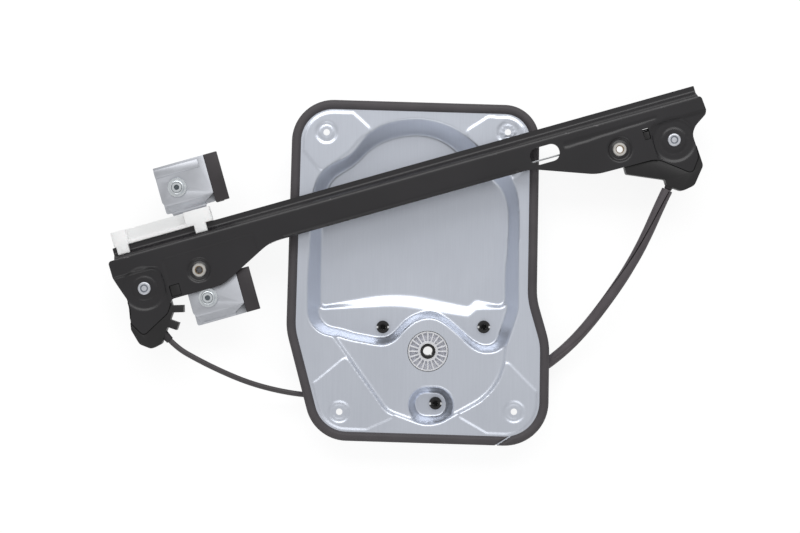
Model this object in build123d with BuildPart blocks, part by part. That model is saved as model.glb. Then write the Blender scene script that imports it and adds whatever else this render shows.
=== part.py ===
from build123d import *
import os
from math import cos, hypot, radians, sin, tan

os.makedirs("parts", exist_ok=True)

# Cable-driven window regulator, lying flat: +X to the right, +Y up the panel, +Z to the front.
# Z = 0 is the plane of the panel's pocket floor and the back of the drum housing.
# All sizes are in millimetres.

# Mounting panel, pressed from zinc-coated sheet
sheet = 1.0
flange_front = 24.0
ledge_front = 5.0
plateau_front = 21.0
pad_rise = 1.0
pad_margin = 2.2
wall_draft = 26.0
shallow_draft = 45.0
curved_wall_draft = 19.0
plateau_draft = 42.0
smallest_bend = 2.0
deep_corner_radius = 7.0

# Foam seal on the rim of the panel
seal_width = 8.4
seal_thick = 2.6
seal_overhang = 0.6
seal_edge_radius = 0.9
seal_joint_x = 84.8
seal_joint_y = -160.2
seal_joint_gap = 0.7
seal_joint_length = 21.0
seal_joint_angle = 33.0

# Panel screw points: two rows of two holes
top_hole_y = 122.3
top_hole_x = 9.0
top_hole_spacing = 165.0
bottom_hole_y = -132.1
bottom_hole_x = 17.4
bottom_hole_spacing = 159.0
panel_hole_radius = 3.0
dimple_radius = 10.0
dimple_land_radius = 5.8
dimple_depth = 1.0
dimple_land_rise = 0.5
dimple_draft = 40.0

# Cable drum and its housing behind the panel
drum_x = 18.7
drum_y = -77.3
drum_pitch_radius = 25.0
drum_rim_radius = 26.0
drum_bottom = 2.8
drum_top = 15.6
drum_groove_count = 3
drum_groove_pitch = 2.6
drum_cable_level = 8.0
coupling_radius = 18.2
coupling_front = 20.7
coupling_hub_radius = 9.2
coupling_rim = 1.4
coupling_depth = 3.0
coupling_rib_count = 20
coupling_rib_width = 1.3
drum_window_gap = 0.5
housing_wall = 2.2
housing_floor = 2.0
drum_housing_gap = 1.0
housing_inner_radius = drum_rim_radius + drum_housing_gap
housing_plate_thick = 3.6
post_radius = 6.85
post_hole_radius = 4.4
post_front = 20.4
post_keyway_width = 1.6
post_keyway_depth = 1.0
post_keyway_angle = -50.0
running_gap = 0.06
inlet_angle = 12.0
inlet_radius = 4.8
inlet_length = 40.0
inlet_seat_depth = 8.0
left_inlet_straight = 13.0
right_inlet_straight = 24.0

# Motor screw bosses, moulded on the drum housing
motor_row_y = -55.65
motor_row_x = 23.95
motor_row_spacing = 93.1
motor_foot_x = 25.9
motor_foot_y = -126.0
boss_radius = 5.5
boss_seat_radius = 8.5
boss_front = 8.4
boss_hole_gap = 0.4
clip_radius = 3.6
clip_thread_radius = 2.5
clip_tab_width = 2.0
clip_tab_reach = 5.9
clip_tab_thick = 0.5

# Cable
cable_radius = 0.75
sheath_radius = 2.5
sheath_fit = 0.1
sleeve_radius = 5.0
sleeve_bore_radius = 2.8

# Guide rail: its own plane runs along the rail, up across it and to the front
rail_angle = 15.65
rail_x = -265.66
rail_y = 14.17
rail_sheet = 1.5
rail_depth = 9.0
lip_top = 2.1
lip_bend = -4.4
web_top = -8.6
web_bottom = -30.9
lip_length = 544.5
rail_bend_radius = 2.2
channel_start = 132.0
channel_end = 388.0
dish_draft = 20.0
pan_depth = 2.0
pan_gap = 0.6
pulley_cup_radius = 12.0
pulley_cup_depth = 0.5
end_step_depth = 0.6
end_groove_depth = 0.8
end_groove_draft = 40.0
bushing_dish_radius = 10.8
bushing_dish_depth = 1.5
window_s = 397.8
window_v = -21.6
window_length = 27.0
window_width = 15.5

# Rail bushings, threaded M6
lower_bushing_s = 70.8
lower_bushing_v = -37.7
upper_bushing_s = 464.1
upper_bushing_v = -35.3
bushing_radius = 6.3
bushing_bore_radius = 3.0
bushing_back = 4.0
bushing_proud = 0.6
bushing_chamfer = 0.6

# Pulleys at the rail's ends
lower_pulley_s = 18.9
upper_pulley_s = 513.5
pulley_v = -40.3
pulley_pitch_radius = 15.0
pulley_rim_radius = 16.1
pulley_thick = 5.0
pulley_level = 2.6
pulley_gap = 0.5
pulley_hole_count = 6
pulley_hole_pitch = 8.6
pulley_hole_radius = 2.6
groove_clearance = 0.3
groove_flare = 0.8
rivet_radius = 4.0
rivet_head_radius = 5.9
rivet_head_rise = 1.7
rivet_head_round = 1.2
rivet_cup_radius = 3.2
rivet_cup_depth = 0.6
rivet_back_head = 1.5
lower_outlet = (0.450, -0.893)
upper_outlet = (-0.670, -0.742)
lower_outlet_straight = 13.0
upper_outlet_straight = 16.0
lower_boot_start = 36.0
upper_boot_start = 28.0
boot_length = 14.0
boot_radius = 4.3
boot_tip_radius = 3.4
boot_seat_depth = 4.0
pulley_housing_back = -3.5
pulley_housing_front = 7.2

# Slider
slide_gap = 0.2
wall_gap = 0.35
slider_start = 2.7
slider_end = 94.5
slider_top = 15.6
slider_back_depth = -8.0
slider_block_front = 6.6
slider_first_block = 13.3
slider_last_block = 24.0
slider_bar_width = 3.2
slider_bar_front = 4.2
hook_width = 10.8
hook_bevel = 0.8
lower_hook_s = 9.9
upper_hook_s = 82.4
guide_start = 50.0
guide_bottom = -28.9
guide_top = -13.0
guide_front = 5.0
nipple_radius = 2.6
nipple_length = 9.0
nipple_clearance = 0.65
nipple_inset = 4.0

# Glass clamps and the carrier plate that joins them
carrier_front = -2.4
carrier_thick = 1.5
carrier_corner = 2.0
waist_rise = 1.5
waist_cut_start = 5.5
waist_cut_end = 10.0
clamp_start = 54.9
clamp_end = 101.7
clamp_spacing = 103.0
lower_clamp_trim = 4.5
clamp_inner = 17.1
clamp_foot = 19.3
clamp_bend = 26.0
clamp_outer = 61.2
clamp_plate_back = 3.8
clamp_plate_thick = 1.5
clamp_bend_radius = 1.6
clamp_start_cut = (6.7, 14.1)
clamp_end_cut = (10.0, 3.2, 9.6)
clamp_bead_v = 55.5
clamp_bead_radius = 4.0
clamp_bead_rise = 1.1
clamp_bead_end = 6.0
pad_leaf = 0.8
pad_stop_s = 86.5
pad_stop_thick = 2.0
pad_bead_rise = 0.5
pad_front_bead = 12.6
pad_back_bead = 7.0
pad_round = 1.2
screw_s = 71.7
screw_v = 39.1
screw_radius = 2.95
screw_tip_inset = 0.3
screw_hole_radius = 3.3
screw_flange_radius = 8.5
screw_flange_thick = 1.2
screw_head_radius = 6.4
screw_head_height = 3.2
screw_head_round = 1.4
screw_recess_radius = 2.6
screw_recess_depth = 2.0
nut_across_flats = 10.0
nut_thick = 3.5
nut_fit = 0.05
travel_gap = 1.2

# Levels that follow from the sizes above
pad_front = flange_front + pad_rise
flange_back = flange_front - sheet
ledge_back = ledge_front - sheet
plateau_back = plateau_front - sheet
seal_front = flange_front + seal_thick
carrier_back = carrier_front - carrier_thick
nut_back = carrier_back - nut_thick
lip_back = seal_front + travel_gap - nut_back
web_back = rail_depth - rail_sheet
clamp_plate_front = clamp_plate_back + clamp_plate_thick
cable_v = pulley_v + pulley_pitch_radius

rail = Plane(
    (rail_x, rail_y, lip_back),
    x_dir=(cos(radians(rail_angle)), sin(radians(rail_angle)), 0),
    z_dir=(0, 0, 1),
)
rail_section = Plane(rail.origin, x_dir=rail.y_dir, z_dir=rail.x_dir)

# Outlines: corners as (x, y, radius), anticlockwise; each is rounded to its radius
seal_corners = [
    (-84.6, -157.7, 38.0), (128.0, -164.3, 40.0), (129.2, -69.5, 60.0), (117.8, -29.5, 60.0),
    (120.6, 146.3, 32.0), (-104.0, 152.9, 38.0), (-110.3, -57.7, 60.0),
]
pocket_corners = [
    (-91.2, -58.9, 24.0), (-14.9, -73.6, 16.0), (17.1, -29.8, 30.0), (63.8, -79.2, 20.0),
    (88.4, -79.2, 18.0), (101.6, -39.5, 40.0), (101.6, 75.7, 24.0), (34.0, 134.8, 40.0),
    (-8.6, 134.8, 45.0), (-42.3, 117.8, 14.0), (-51.4, 106.2, 14.0), (-91.2, 77.0, 20.0),
]
# Corners of the pocket that its deep floor shares, from the right wall round to the left one
deep_first = 5
step_edge = [(-39.0, 5.0), (-9.7, -36.4, 160.0), (56.5, -46.4, 4.0), (64.0, -39.8, 4.0)]
step_foot = [(-37.0, 4.0), (-9.7, -22.5, 160.0), (56.5, -37.0, 4.0), (63.0, -30.6, 4.0)]
plateau_corners = [
    (-77.8, -50.4, 4.0), (-19.5, -132.4, 18.0), (21.5, -147.8, 32.0), (85.6, -112.8, 57.0),
    (94.0, -50.4, 4.0),
]
foot_pocket_size = (41.0, 33.7)
foot_pocket_centre = (21.5, -126.9)
foot_pocket_radius = 16.6
corner_pads = [
    [(-31.6, 124.7, 6.0), (-60.0, 150.7, 6.0), (-112.0, 160.0, 6.0), (-102.0, 114.0, 6.0),
     (-78.7, 85.5, 8.0), (-50.0, 98.0, 8.0)],
    [(51.4, 123.2, 6.0), (66.0, 98.0, 8.0), (95.2, 77.7, 8.0), (125.0, 106.6, 6.0),
     (128.0, 158.0, 6.0), (95.0, 151.0, 6.0)],
    [(-56.8, -81.4, 5.0), (-110.0, -125.4, 6.0), (-92.0, -168.0, 6.0), (-62.0, -159.5, 6.0),
     (-9.7, -136.4, 5.0), (-20.0, -110.0, 8.0)],
    [(90.7, -85.4, 5.0), (55.0, -110.0, 8.0), (45.1, -136.4, 5.0), (94.0, -164.7, 6.0),
     (135.0, -168.0, 6.0), (135.0, -131.0, 6.0)],
]
lower_end_corners = [
    (-5.8, -8.6, 3.0), (-5.6, -26.0, 5.0), (2.9, -52.0, 22.0), (-1.2, -67.0, 3.0), (6.9, -81.2, 4.0),
    (33.0, -67.5, 8.0), (40.5, -56.3, 4.0), (88.0, -56.3, 28.0), (139.0, -30.9, 40.0),
    (150.0, -30.9, 0.5), (150.0, -10.6, 0.5),
]
upper_end_corners = [
    (370.0, -30.9, 0.5), (382.0, -30.9, 30.0), (438.0, -51.5, 40.0), (494.0, -52.3, 22.0),
    (521.0, -73.5, 4.0), (530.5, -61.0, 10.0), (531.4, -36.0, 14.0), (548.3, -25.0, 5.0),
    (547.0, -8.6, 3.0), (370.0, -10.6, 0.5),
]
lower_housing_corners = [
    (0.6, -22.5, 5.0), (1.0, -53.0, 20.0), (-2.6, -73.0, 3.0), (1.2, -87.5, 7.0), (10.5, -94.6, 6.0),
    (20.5, -92.5, 4.0), (39.0, -66.0, 5.0), (38.2, -22.5, 9.0),
]
upper_housing_corners = [
    (496.0, -22.5, 9.0), (495.5, -49.0, 9.0), (464.0, -51.0, 2.0), (464.0, -58.4, 2.0),
    (496.0, -72.5, 2.0), (496.0, -78.0, 3.0), (508.0, -86.6, 7.0), (520.0, -84.6, 7.0),
    (532.4, -69.5, 6.0), (531.2, -45.0, 12.0), (531.2, -22.5, 9.0),
]
lower_pan_corners = [(-20.0, -24.0, 1.0), (-20.0, -95.0, 1.0), (38.0, -95.0, 1.0), (38.0, -24.0, 8.0)]
upper_pan_corners = [(494.5, -22.0, 8.0), (494.5, -95.0, 1.0), (560.0, -95.0, 1.0), (560.0, -22.0, 1.0)]
end_step_corners = [(41.0, -19.5, 3.0), (41.0, -70.0, 1.0), (126.5, -70.0, 1.0), (126.5, -19.0, 4.0)]
end_groove_corners = [(416.0, -16.0, 2.0), (416.0, -21.5, 2.0), (503.0, -17.6, 0.6), (503.0, -15.6, 0.6)]
lower_clip_window = (45.6, -49.4, 9.4, 10.4)
upper_clip_window = (490.7, -28.7, 6.0, 10.0)
lower_window_arm = (43.5, -49.5, 16.0, 12.6)
upper_window_arm = (491.5, -29.4, 10.0, 11.0)
lower_window_tab = (45.6, -49.4, 8.4, 9.4)
upper_window_tab = (490.7, -30.0, 5.0, 6.6)
window_tab_front = 8.0
lower_housing_tabs = [(42.5, -66.0, 11.0, 6.5, -14.0), (34.5, -78.5, 10.0, 7.0, -35.0)]


def moved_in(corners, amounts):
    """Move each wall of a closed outline inwards by its own amount; wall 0 starts at corner 0."""
    count = len(corners)
    walls = []
    for i, (x, y, _) in enumerate(corners):
        next_x, next_y, _ = corners[(i + 1) % count]
        length = hypot(next_x - x, next_y - y)
        along = ((next_x - x) / length, (next_y - y) / length)
        walls.append((x - along[1] * amounts[i], y + along[0] * amounts[i], *along))
    result = []
    for i, (_, _, radius) in enumerate(corners):
        x0, y0, ux0, uy0 = walls[i - 1]
        x1, y1, ux1, uy1 = walls[i]
        turn = ux0 * uy1 - uy0 * ux1
        reach = ((x1 - x0) * uy1 - (y1 - y0) * ux1) / turn
        change = (amounts[i - 1] + amounts[i]) / 2
        bend = radius - change if turn > 0 else radius + change
        result.append((x0 + ux0 * reach, y0 + uy0 * reach, max(bend, smallest_bend)))
    return result


def grown(corners, amount):
    """Grow a closed outline outwards by one amount all round."""
    return moved_in(corners, [-amount] * len(corners))


def draw(corners, mode=Mode.ADD):
    """Draw a closed outline as a face, each corner rounded to its own radius."""
    with BuildLine() as outline:
        FilletPolyline(*[(x, y) for x, y, _ in corners], radius=[r for _, _, r in corners], close=True)
    make_face(outline.edges(), mode=mode)


def loft_between(upper, upper_level, lower, lower_level, mode=Mode.ADD):
    """Join two outlines that have the same corners by straight walls."""
    with BuildSketch(Plane.XY.offset(lower_level)) as low:
        draw(lower)
    with BuildSketch(Plane.XY.offset(upper_level)) as high:
        draw(upper)
    loft([low.sketch.face(), high.sketch.face()], ruled=True, mode=mode)


def lower_v(v):
    """The lower clamp's place across the rail for a place on the upper clamp."""
    return v - clamp_spacing


def on_line(start, direction, distance):
    """The point at a distance along a direction in a plane."""
    return (start[0] + direction[0] * distance, start[1] + direction[1] * distance)


# Rings of the pocket at the level of the ledge and of the deep floor
curved_walls = range(0, deep_first - 1)
drafts = [curved_wall_draft if i in curved_walls else wall_draft for i in range(len(pocket_corners))]


def pocket_ring(level):
    """The pocket's outline at a level below the flange."""
    return moved_in(pocket_corners, [(flange_front - level) * tan(radians(a)) for a in drafts])


def deep_ring(level, step):
    """The outline of the deep part of the pocket: its walls, and the step down from the ledge."""
    walls = pocket_ring(level)[deep_first:]
    right = (walls[0][0], walls[0][1], deep_corner_radius)
    left = (walls[-1][0], *step[0])
    return [right] + walls[1:] + [left] + step[1:]


ledge_ring = pocket_ring(ledge_front)
deep_edge = deep_ring(ledge_front, step_edge)
deep_foot = deep_ring(sheet, step_foot)
plateau_foot = moved_in(
    plateau_corners,
    [(flange_front - plateau_front) * tan(radians(plateau_draft))] * len(plateau_corners),
)
half_x, half_y = foot_pocket_size[0] / 2, foot_pocket_size[1] / 2
foot_x, foot_y = foot_pocket_centre
foot_pocket = [
    (foot_x - half_x, foot_y - half_y, foot_pocket_radius),
    (foot_x + half_x, foot_y - half_y, foot_pocket_radius),
    (foot_x + half_x, foot_y + half_y, foot_pocket_radius),
    (foot_x - half_x, foot_y + half_y, foot_pocket_radius),
]
foot_pocket_floor = moved_in(
    foot_pocket, [(plateau_front - ledge_front) * tan(radians(curved_wall_draft))] * 4
)
hole_places = [
    (top_hole_x - top_hole_spacing / 2, top_hole_y),
    (top_hole_x + top_hole_spacing / 2, top_hole_y),
    (bottom_hole_x - bottom_hole_spacing / 2, bottom_hole_y),
    (bottom_hole_x + bottom_hole_spacing / 2, bottom_hole_y),
]
boss_places = [
    (motor_row_x - motor_row_spacing / 2, motor_row_y),
    (motor_row_x + motor_row_spacing / 2, motor_row_y),
    (motor_foot_x, motor_foot_y),
]

# Mounting panel
with BuildPart() as mounting_panel:
    with BuildSketch(Plane.XY.offset(flange_back)):
        draw(grown(seal_corners, -seal_overhang))
    extrude(amount=sheet)
    for pad in corner_pads:
        with BuildSketch(Plane.XY.offset(flange_front)):
            draw(grown(seal_corners, -seal_width - pad_margin))
            draw(pad, Mode.INTERSECT)
        extrude(amount=pad_rise, taper=shallow_draft)
        with BuildSketch(Plane.XY.offset(flange_back)):
            draw(grown(seal_corners, -seal_width - pad_margin - sheet))
            draw(grown(pad, -sheet), Mode.INTERSECT)
        extrude(amount=pad_rise, mode=Mode.SUBTRACT)
    loft_between(grown(pocket_corners, sheet), flange_front, grown(ledge_ring, sheet), ledge_back)
    loft_between(grown(deep_edge, sheet), ledge_front, grown(deep_foot, sheet), 0)
    loft_between(grown(plateau_corners, sheet), flange_front, grown(plateau_foot, sheet), plateau_back)
    loft_between(grown(foot_pocket, sheet), plateau_front, grown(foot_pocket_floor, sheet), ledge_back)
    for outline in (pocket_corners, plateau_corners):
        with BuildSketch(Plane.XY.offset(flange_front)):
            draw(outline)
        extrude(amount=pad_rise, mode=Mode.SUBTRACT)
    loft_between(pocket_corners, flange_front, ledge_ring, ledge_front, Mode.SUBTRACT)
    loft_between(deep_edge, ledge_front, deep_foot, sheet, Mode.SUBTRACT)
    loft_between(plateau_corners, flange_front, plateau_foot, plateau_front, Mode.SUBTRACT)
    loft_between(foot_pocket, plateau_front, foot_pocket_floor, ledge_front, Mode.SUBTRACT)
    with BuildSketch(Plane.XY.offset(flange_back)):
        with Locations(*hole_places):
            Circle(dimple_radius + sheet)
    extrude(amount=pad_rise)
    with BuildSketch(Plane.XY.offset(pad_front)):
        with Locations(*hole_places):
            Circle(dimple_radius)
            Circle(dimple_land_radius, mode=Mode.SUBTRACT)
    extrude(amount=-dimple_depth, taper=dimple_draft, mode=Mode.SUBTRACT)
    with BuildSketch(Plane.XY.offset(pad_front)):
        with Locations(*hole_places):
            Circle(dimple_land_radius)
    extrude(amount=-dimple_land_rise, mode=Mode.SUBTRACT)
    with BuildSketch(Plane.XY.offset(pad_front)):
        with Locations(*hole_places):
            Circle(panel_hole_radius)
        with Locations(*boss_places):
            Circle(boss_radius + boss_hole_gap)
        with Locations((drum_x, drum_y)):
            Circle(coupling_radius + drum_window_gap)
    extrude(amount=-pad_front, mode=Mode.SUBTRACT)
mounting_panel.part.label = "mounting_panel"
export_step(mounting_panel.part, "parts/mounting_panel.step")

# Panel seal, one strip with a butt joint at the bottom
with BuildPart() as panel_seal:
    with BuildSketch(Plane.XY.offset(flange_front)):
        draw(seal_corners)
        draw(grown(seal_corners, -seal_width), mode=Mode.SUBTRACT)
    extrude(amount=seal_thick)
    fillet(panel_seal.faces().sort_by(Axis.Z)[-1].edges(), seal_edge_radius)
    with BuildSketch(Plane.XY.offset(flange_front)):
        with Locations((seal_joint_x, seal_joint_y)):
            Rectangle(seal_joint_length, seal_joint_gap, rotation=seal_joint_angle)
    extrude(amount=seal_thick, mode=Mode.SUBTRACT)
panel_seal.part.label = "panel_seal"
export_step(panel_seal.part, "parts/panel_seal.step")

# Drum housing: a cup with a hollow post, three screw bosses and two cable inlets
inlet_rad = radians(inlet_angle)
left_inlet_dir = (-cos(inlet_rad), -sin(inlet_rad))
right_inlet_dir = (cos(inlet_rad), -sin(inlet_rad))
left_tangent = (
    drum_x + drum_pitch_radius * sin(inlet_rad),
    drum_y - drum_pitch_radius * cos(inlet_rad),
)
right_tangent = (
    drum_x - drum_pitch_radius * sin(inlet_rad),
    drum_y - drum_pitch_radius * cos(inlet_rad),
)
inlets = [(left_tangent, left_inlet_dir), (right_tangent, right_inlet_dir)]


def inlet_plane(start, direction, distance):
    """A plane across a cable inlet, at a distance from the drum, facing outwards."""
    x, y = on_line(start, direction, distance)
    return Plane((x, y, drum_cable_level), z_dir=(direction[0], direction[1], 0))


cup_radius = housing_inner_radius + housing_wall
keyway_direction = (cos(radians(post_keyway_angle)), sin(radians(post_keyway_angle)))
with BuildPart() as drum_housing:
    with BuildSketch():
        with Locations((drum_x, drum_y)):
            Circle(cup_radius)
        with Locations(*boss_places):
            Circle(boss_seat_radius)
        make_hull()
    extrude(amount=housing_plate_thick)
    with BuildSketch():
        with Locations(*boss_places):
            Circle(boss_seat_radius)
    extrude(amount=ledge_back)
    with BuildSketch():
        with Locations(*boss_places):
            Circle(boss_radius)
    extrude(amount=boss_front)
    with BuildSketch():
        with Locations((drum_x, drum_y)):
            Circle(cup_radius)
    extrude(amount=plateau_back)
    for start, direction in inlets:
        with BuildSketch(inlet_plane(start, direction, inlet_length / 2)):
            Circle(inlet_radius)
        extrude(amount=inlet_length / 2)
    with BuildSketch(Plane.XY.offset(housing_floor)):
        with Locations((drum_x, drum_y)):
            Circle(housing_inner_radius)
    extrude(amount=plateau_back, mode=Mode.SUBTRACT)
    with BuildSketch():
        with Locations((drum_x, drum_y)):
            Circle(post_radius)
    extrude(amount=post_front)
    with BuildSketch():
        with Locations((drum_x, drum_y)):
            Circle(post_hole_radius)
    extrude(amount=post_front, mode=Mode.SUBTRACT)
    with BuildSketch():
        with Locations(on_line((drum_x, drum_y), keyway_direction, post_hole_radius)):
            Rectangle(2 * post_keyway_depth, post_keyway_width, rotation=post_keyway_angle)
    extrude(amount=post_front, mode=Mode.SUBTRACT)
    with BuildSketch():
        with Locations(*boss_places):
            Circle(clip_radius)
    extrude(amount=boss_front, mode=Mode.SUBTRACT)
    for start, direction in inlets:
        with BuildSketch(inlet_plane(start, direction, inlet_length)):
            Circle(sheath_radius + sheath_fit)
        extrude(amount=-inlet_seat_depth, mode=Mode.SUBTRACT)
        with BuildSketch(inlet_plane(start, direction, inlet_length)):
            Circle(cable_radius + groove_clearance)
        extrude(amount=-inlet_length, mode=Mode.SUBTRACT)
drum_housing.part.label = "drum_housing"
export_step(drum_housing.part, "parts/drum_housing.step")

# Threaded clips pressed into the three bosses, with two bright tabs each
with BuildPart() as screw_clips:
    with BuildSketch():
        with Locations(*boss_places):
            Circle(clip_radius)
            Circle(clip_thread_radius, mode=Mode.SUBTRACT)
    extrude(amount=boss_front)
    with BuildSketch(Plane.XY.offset(boss_front)):
        with Locations(*boss_places):
            Rectangle(2 * clip_tab_reach, clip_tab_width)
            Circle(clip_thread_radius, mode=Mode.SUBTRACT)
    extrude(amount=clip_tab_thick)
screw_clips.part.label = "screw_clips"
export_step(screw_clips.part, "parts/screw_clips.step")

# Cable drum: grooved rim, and a ribbed coupling ring that the motor drives
drum_place = Plane((drum_x, drum_y, 0))
groove_levels = [
    drum_cable_level + (i - (drum_groove_count - 1) / 2) * drum_groove_pitch
    for i in range(drum_groove_count)
]
groove_root = drum_pitch_radius - cable_radius - groove_clearance
groove_reach = 2 * (drum_rim_radius - groove_root)
with BuildPart() as cable_drum:
    with BuildSketch(drum_place.offset(drum_bottom)):
        Circle(drum_rim_radius)
    extrude(amount=drum_top - drum_bottom)
    with BuildSketch(drum_place.offset(drum_top)):
        Circle(coupling_radius)
    extrude(amount=coupling_front - drum_top)
    with BuildSketch(drum_place.offset(coupling_front)):
        Circle(coupling_radius - coupling_rim)
        Circle(coupling_hub_radius, mode=Mode.SUBTRACT)
        with PolarLocations((coupling_radius + post_radius) / 2, coupling_rib_count):
            Rectangle(coupling_radius - post_radius, coupling_rib_width, mode=Mode.SUBTRACT)
    extrude(amount=-coupling_depth, mode=Mode.SUBTRACT)
    with BuildSketch(drum_place.offset(drum_bottom)):
        Circle(post_radius + running_gap)
    extrude(amount=coupling_front, mode=Mode.SUBTRACT)
    for level in groove_levels:
        with BuildSketch(Plane((drum_x, drum_y, level), x_dir=(1, 0, 0), z_dir=(0, -1, 0))):
            with Locations((groove_root + groove_reach / 2, 0)):
                Rectangle(groove_reach, 2 * (cable_radius + groove_clearance))
        revolve(axis=Axis((drum_x, drum_y, 0), (0, 0, 1)), mode=Mode.SUBTRACT)
cable_drum.part.label = "cable_drum"
export_step(cable_drum.part, "parts/cable_drum.step")

# Turns of cable wound on the drum
with BuildPart() as drum_cable:
    with Locations(*[(drum_x, drum_y, level) for level in groove_levels]):
        Torus(drum_pitch_radius, cable_radius)
drum_cable.part.label = "drum_cable"
export_step(drum_cable.part, "parts/drum_cable.step")

# Guide rail: rolled section with an upper lip, widened into a flat plate at each end
lower_wall_inside = web_bottom + rail_sheet
rail_path = [
    (lip_top, 0), (lip_bend, 0), (web_top, web_back),
    (lower_wall_inside, web_back), (lower_wall_inside, 0),
]


def draw_rail_section(path):
    """Draw the rail's sheet as a band of one thickness in front of a bent path."""
    with BuildLine() as band:
        FilletPolyline(*path, radius=rail_bend_radius)
        offset(amount=rail_sheet, side=Side.RIGHT, closed=True)
    make_face(band.edges())


lower_pulley = (lower_pulley_s, pulley_v)
upper_pulley = (upper_pulley_s, pulley_v)
lower_bushing_place = (lower_bushing_s, lower_bushing_v)
upper_bushing_place = (upper_bushing_s, upper_bushing_v)
with BuildPart() as guide_rail:
    with BuildSketch(rail_section.offset(channel_start)):
        draw_rail_section(rail_path)
    extrude(amount=channel_end - channel_start)
    with BuildSketch(rail_section):
        draw_rail_section(rail_path[:3] + [(web_top - 3 * rail_sheet, web_back)])
    extrude(amount=lip_length)
    for corners in (lower_end_corners, upper_end_corners):
        with BuildSketch(rail.offset(web_back)):
            draw(corners)
        extrude(amount=rail_sheet)
    for corners, pan_corners in (
        (lower_end_corners, lower_pan_corners), (upper_end_corners, upper_pan_corners)
    ):
        with BuildSketch(rail.offset(web_back)):
            draw(corners)
            draw(grown(pan_corners, rail_sheet / 2), Mode.INTERSECT)
        extrude(amount=-pan_depth, taper=dish_draft)
        with BuildSketch(rail.offset(rail_depth)):
            draw(pan_corners)
        extrude(amount=-pan_depth, taper=dish_draft, mode=Mode.SUBTRACT)
    with BuildSketch(rail.offset(web_back)):
        with Locations(lower_bushing_place, upper_bushing_place):
            Circle(bushing_dish_radius + rail_sheet / 2)
    extrude(amount=-bushing_dish_depth, taper=dish_draft)
    with BuildSketch(rail.offset(rail_depth)):
        with Locations(lower_bushing_place, upper_bushing_place):
            Circle(bushing_dish_radius)
    extrude(amount=-bushing_dish_depth, taper=dish_draft, mode=Mode.SUBTRACT)
    with BuildSketch(rail.offset(rail_depth)):
        draw(end_step_corners)
    extrude(amount=-end_step_depth, taper=end_groove_draft, mode=Mode.SUBTRACT)
    with BuildSketch(rail.offset(rail_depth)):
        draw(end_groove_corners)
    extrude(amount=-end_groove_depth, taper=end_groove_draft, mode=Mode.SUBTRACT)
    with BuildSketch(rail.offset(rail_depth - pan_depth)):
        with Locations(lower_pulley, upper_pulley):
            Circle(pulley_cup_radius)
    extrude(amount=-pulley_cup_depth, taper=dish_draft, mode=Mode.SUBTRACT)
    with BuildSketch(rail):
        with Locations(lower_pulley, upper_pulley):
            Circle(rivet_radius + running_gap)
        with Locations(lower_bushing_place, upper_bushing_place):
            Circle(bushing_radius)
        with Locations((window_s, window_v)):
            RectangleRounded(window_length, window_width, window_width / 2 - 0.5)
        for s, v, length, width in (lower_clip_window, upper_clip_window):
            with Locations((s, v)):
                Rectangle(length, width)
    extrude(amount=rail_depth, mode=Mode.SUBTRACT)
guide_rail.part.label = "guide_rail"
export_step(guide_rail.part, "parts/guide_rail.step")

# Threaded bushings that fix the rail to the door
for name, place in (("lower_bushing", lower_bushing_place), ("upper_bushing", upper_bushing_place)):
    with BuildPart() as bushing:
        with BuildSketch(rail.offset(bushing_back)):
            with Locations(place):
                Circle(bushing_radius)
        extrude(amount=rail_depth - bushing_dish_depth + bushing_proud - bushing_back)
        with BuildSketch(rail.offset(bushing_back)):
            with Locations(place):
                Circle(bushing_bore_radius)
        extrude(amount=rail_depth, mode=Mode.SUBTRACT)
        chamfer(bushing.edges().filter_by(GeomType.CIRCLE).group_by(Axis.Z)[-1], bushing_chamfer)
    bushing.part.label = name
    export_step(bushing.part, f"parts/{name}.step")

# Pulleys with a cable groove, each turning on its rivet
groove_bottom = pulley_pitch_radius - cable_radius - groove_clearance
groove_half = cable_radius + groove_clearance
half_thick = pulley_thick / 2
pulley_profile = [
    (rivet_radius + running_gap, -half_thick), (pulley_rim_radius, -half_thick),
    (pulley_rim_radius, -groove_half - groove_flare), (groove_bottom, -groove_half),
    (groove_bottom, groove_half), (pulley_rim_radius, groove_half + groove_flare),
    (pulley_rim_radius, half_thick), (rivet_radius + running_gap, half_thick),
]
for name, place in (("lower_pulley", lower_pulley), ("upper_pulley", upper_pulley)):
    centre = rail.from_local_coords((place[0], place[1], pulley_level))
    with BuildPart() as pulley:
        with BuildSketch(Plane(centre, x_dir=(1, 0, 0), z_dir=(0, -1, 0))):
            with BuildLine():
                Polyline(*pulley_profile, close=True)
            make_face()
        revolve(axis=Axis(centre, (0, 0, 1)))
        with BuildSketch(Plane(centre).offset(half_thick)):
            with PolarLocations(pulley_hole_pitch, pulley_hole_count):
                Circle(pulley_hole_radius)
        extrude(amount=-pulley_thick, mode=Mode.SUBTRACT)
    pulley.part.label = name
    export_step(pulley.part, f"parts/{name}.step")

# Rivets: shank, domed front head and flat back head
dish_floor = rail_depth - pan_depth - pulley_cup_depth
for name, place in (("lower_rivet", lower_pulley), ("upper_rivet", upper_pulley)):
    with BuildPart() as rivet:
        with BuildSketch(rail.offset(pulley_housing_back - rivet_back_head)):
            with Locations(place):
                Circle(rivet_head_radius)
        extrude(amount=rivet_back_head)
        with BuildSketch(rail.offset(pulley_housing_back)):
            with Locations(place):
                Circle(rivet_radius)
        extrude(amount=dish_floor - pulley_housing_back)
        with BuildSketch(rail.offset(dish_floor)):
            with Locations(place):
                Circle(rivet_head_radius)
        extrude(amount=rivet_head_rise)
        fillet(rivet.edges().filter_by(GeomType.CIRCLE).group_by(Axis.Z)[-1], rivet_head_round)
        with BuildSketch(rail.offset(dish_floor + rivet_head_rise)):
            with Locations(place):
                Circle(rivet_cup_radius)
        extrude(amount=-rivet_cup_depth, mode=Mode.SUBTRACT)
    rivet.part.label = name
    export_step(rivet.part, f"parts/{name}.step")


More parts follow.
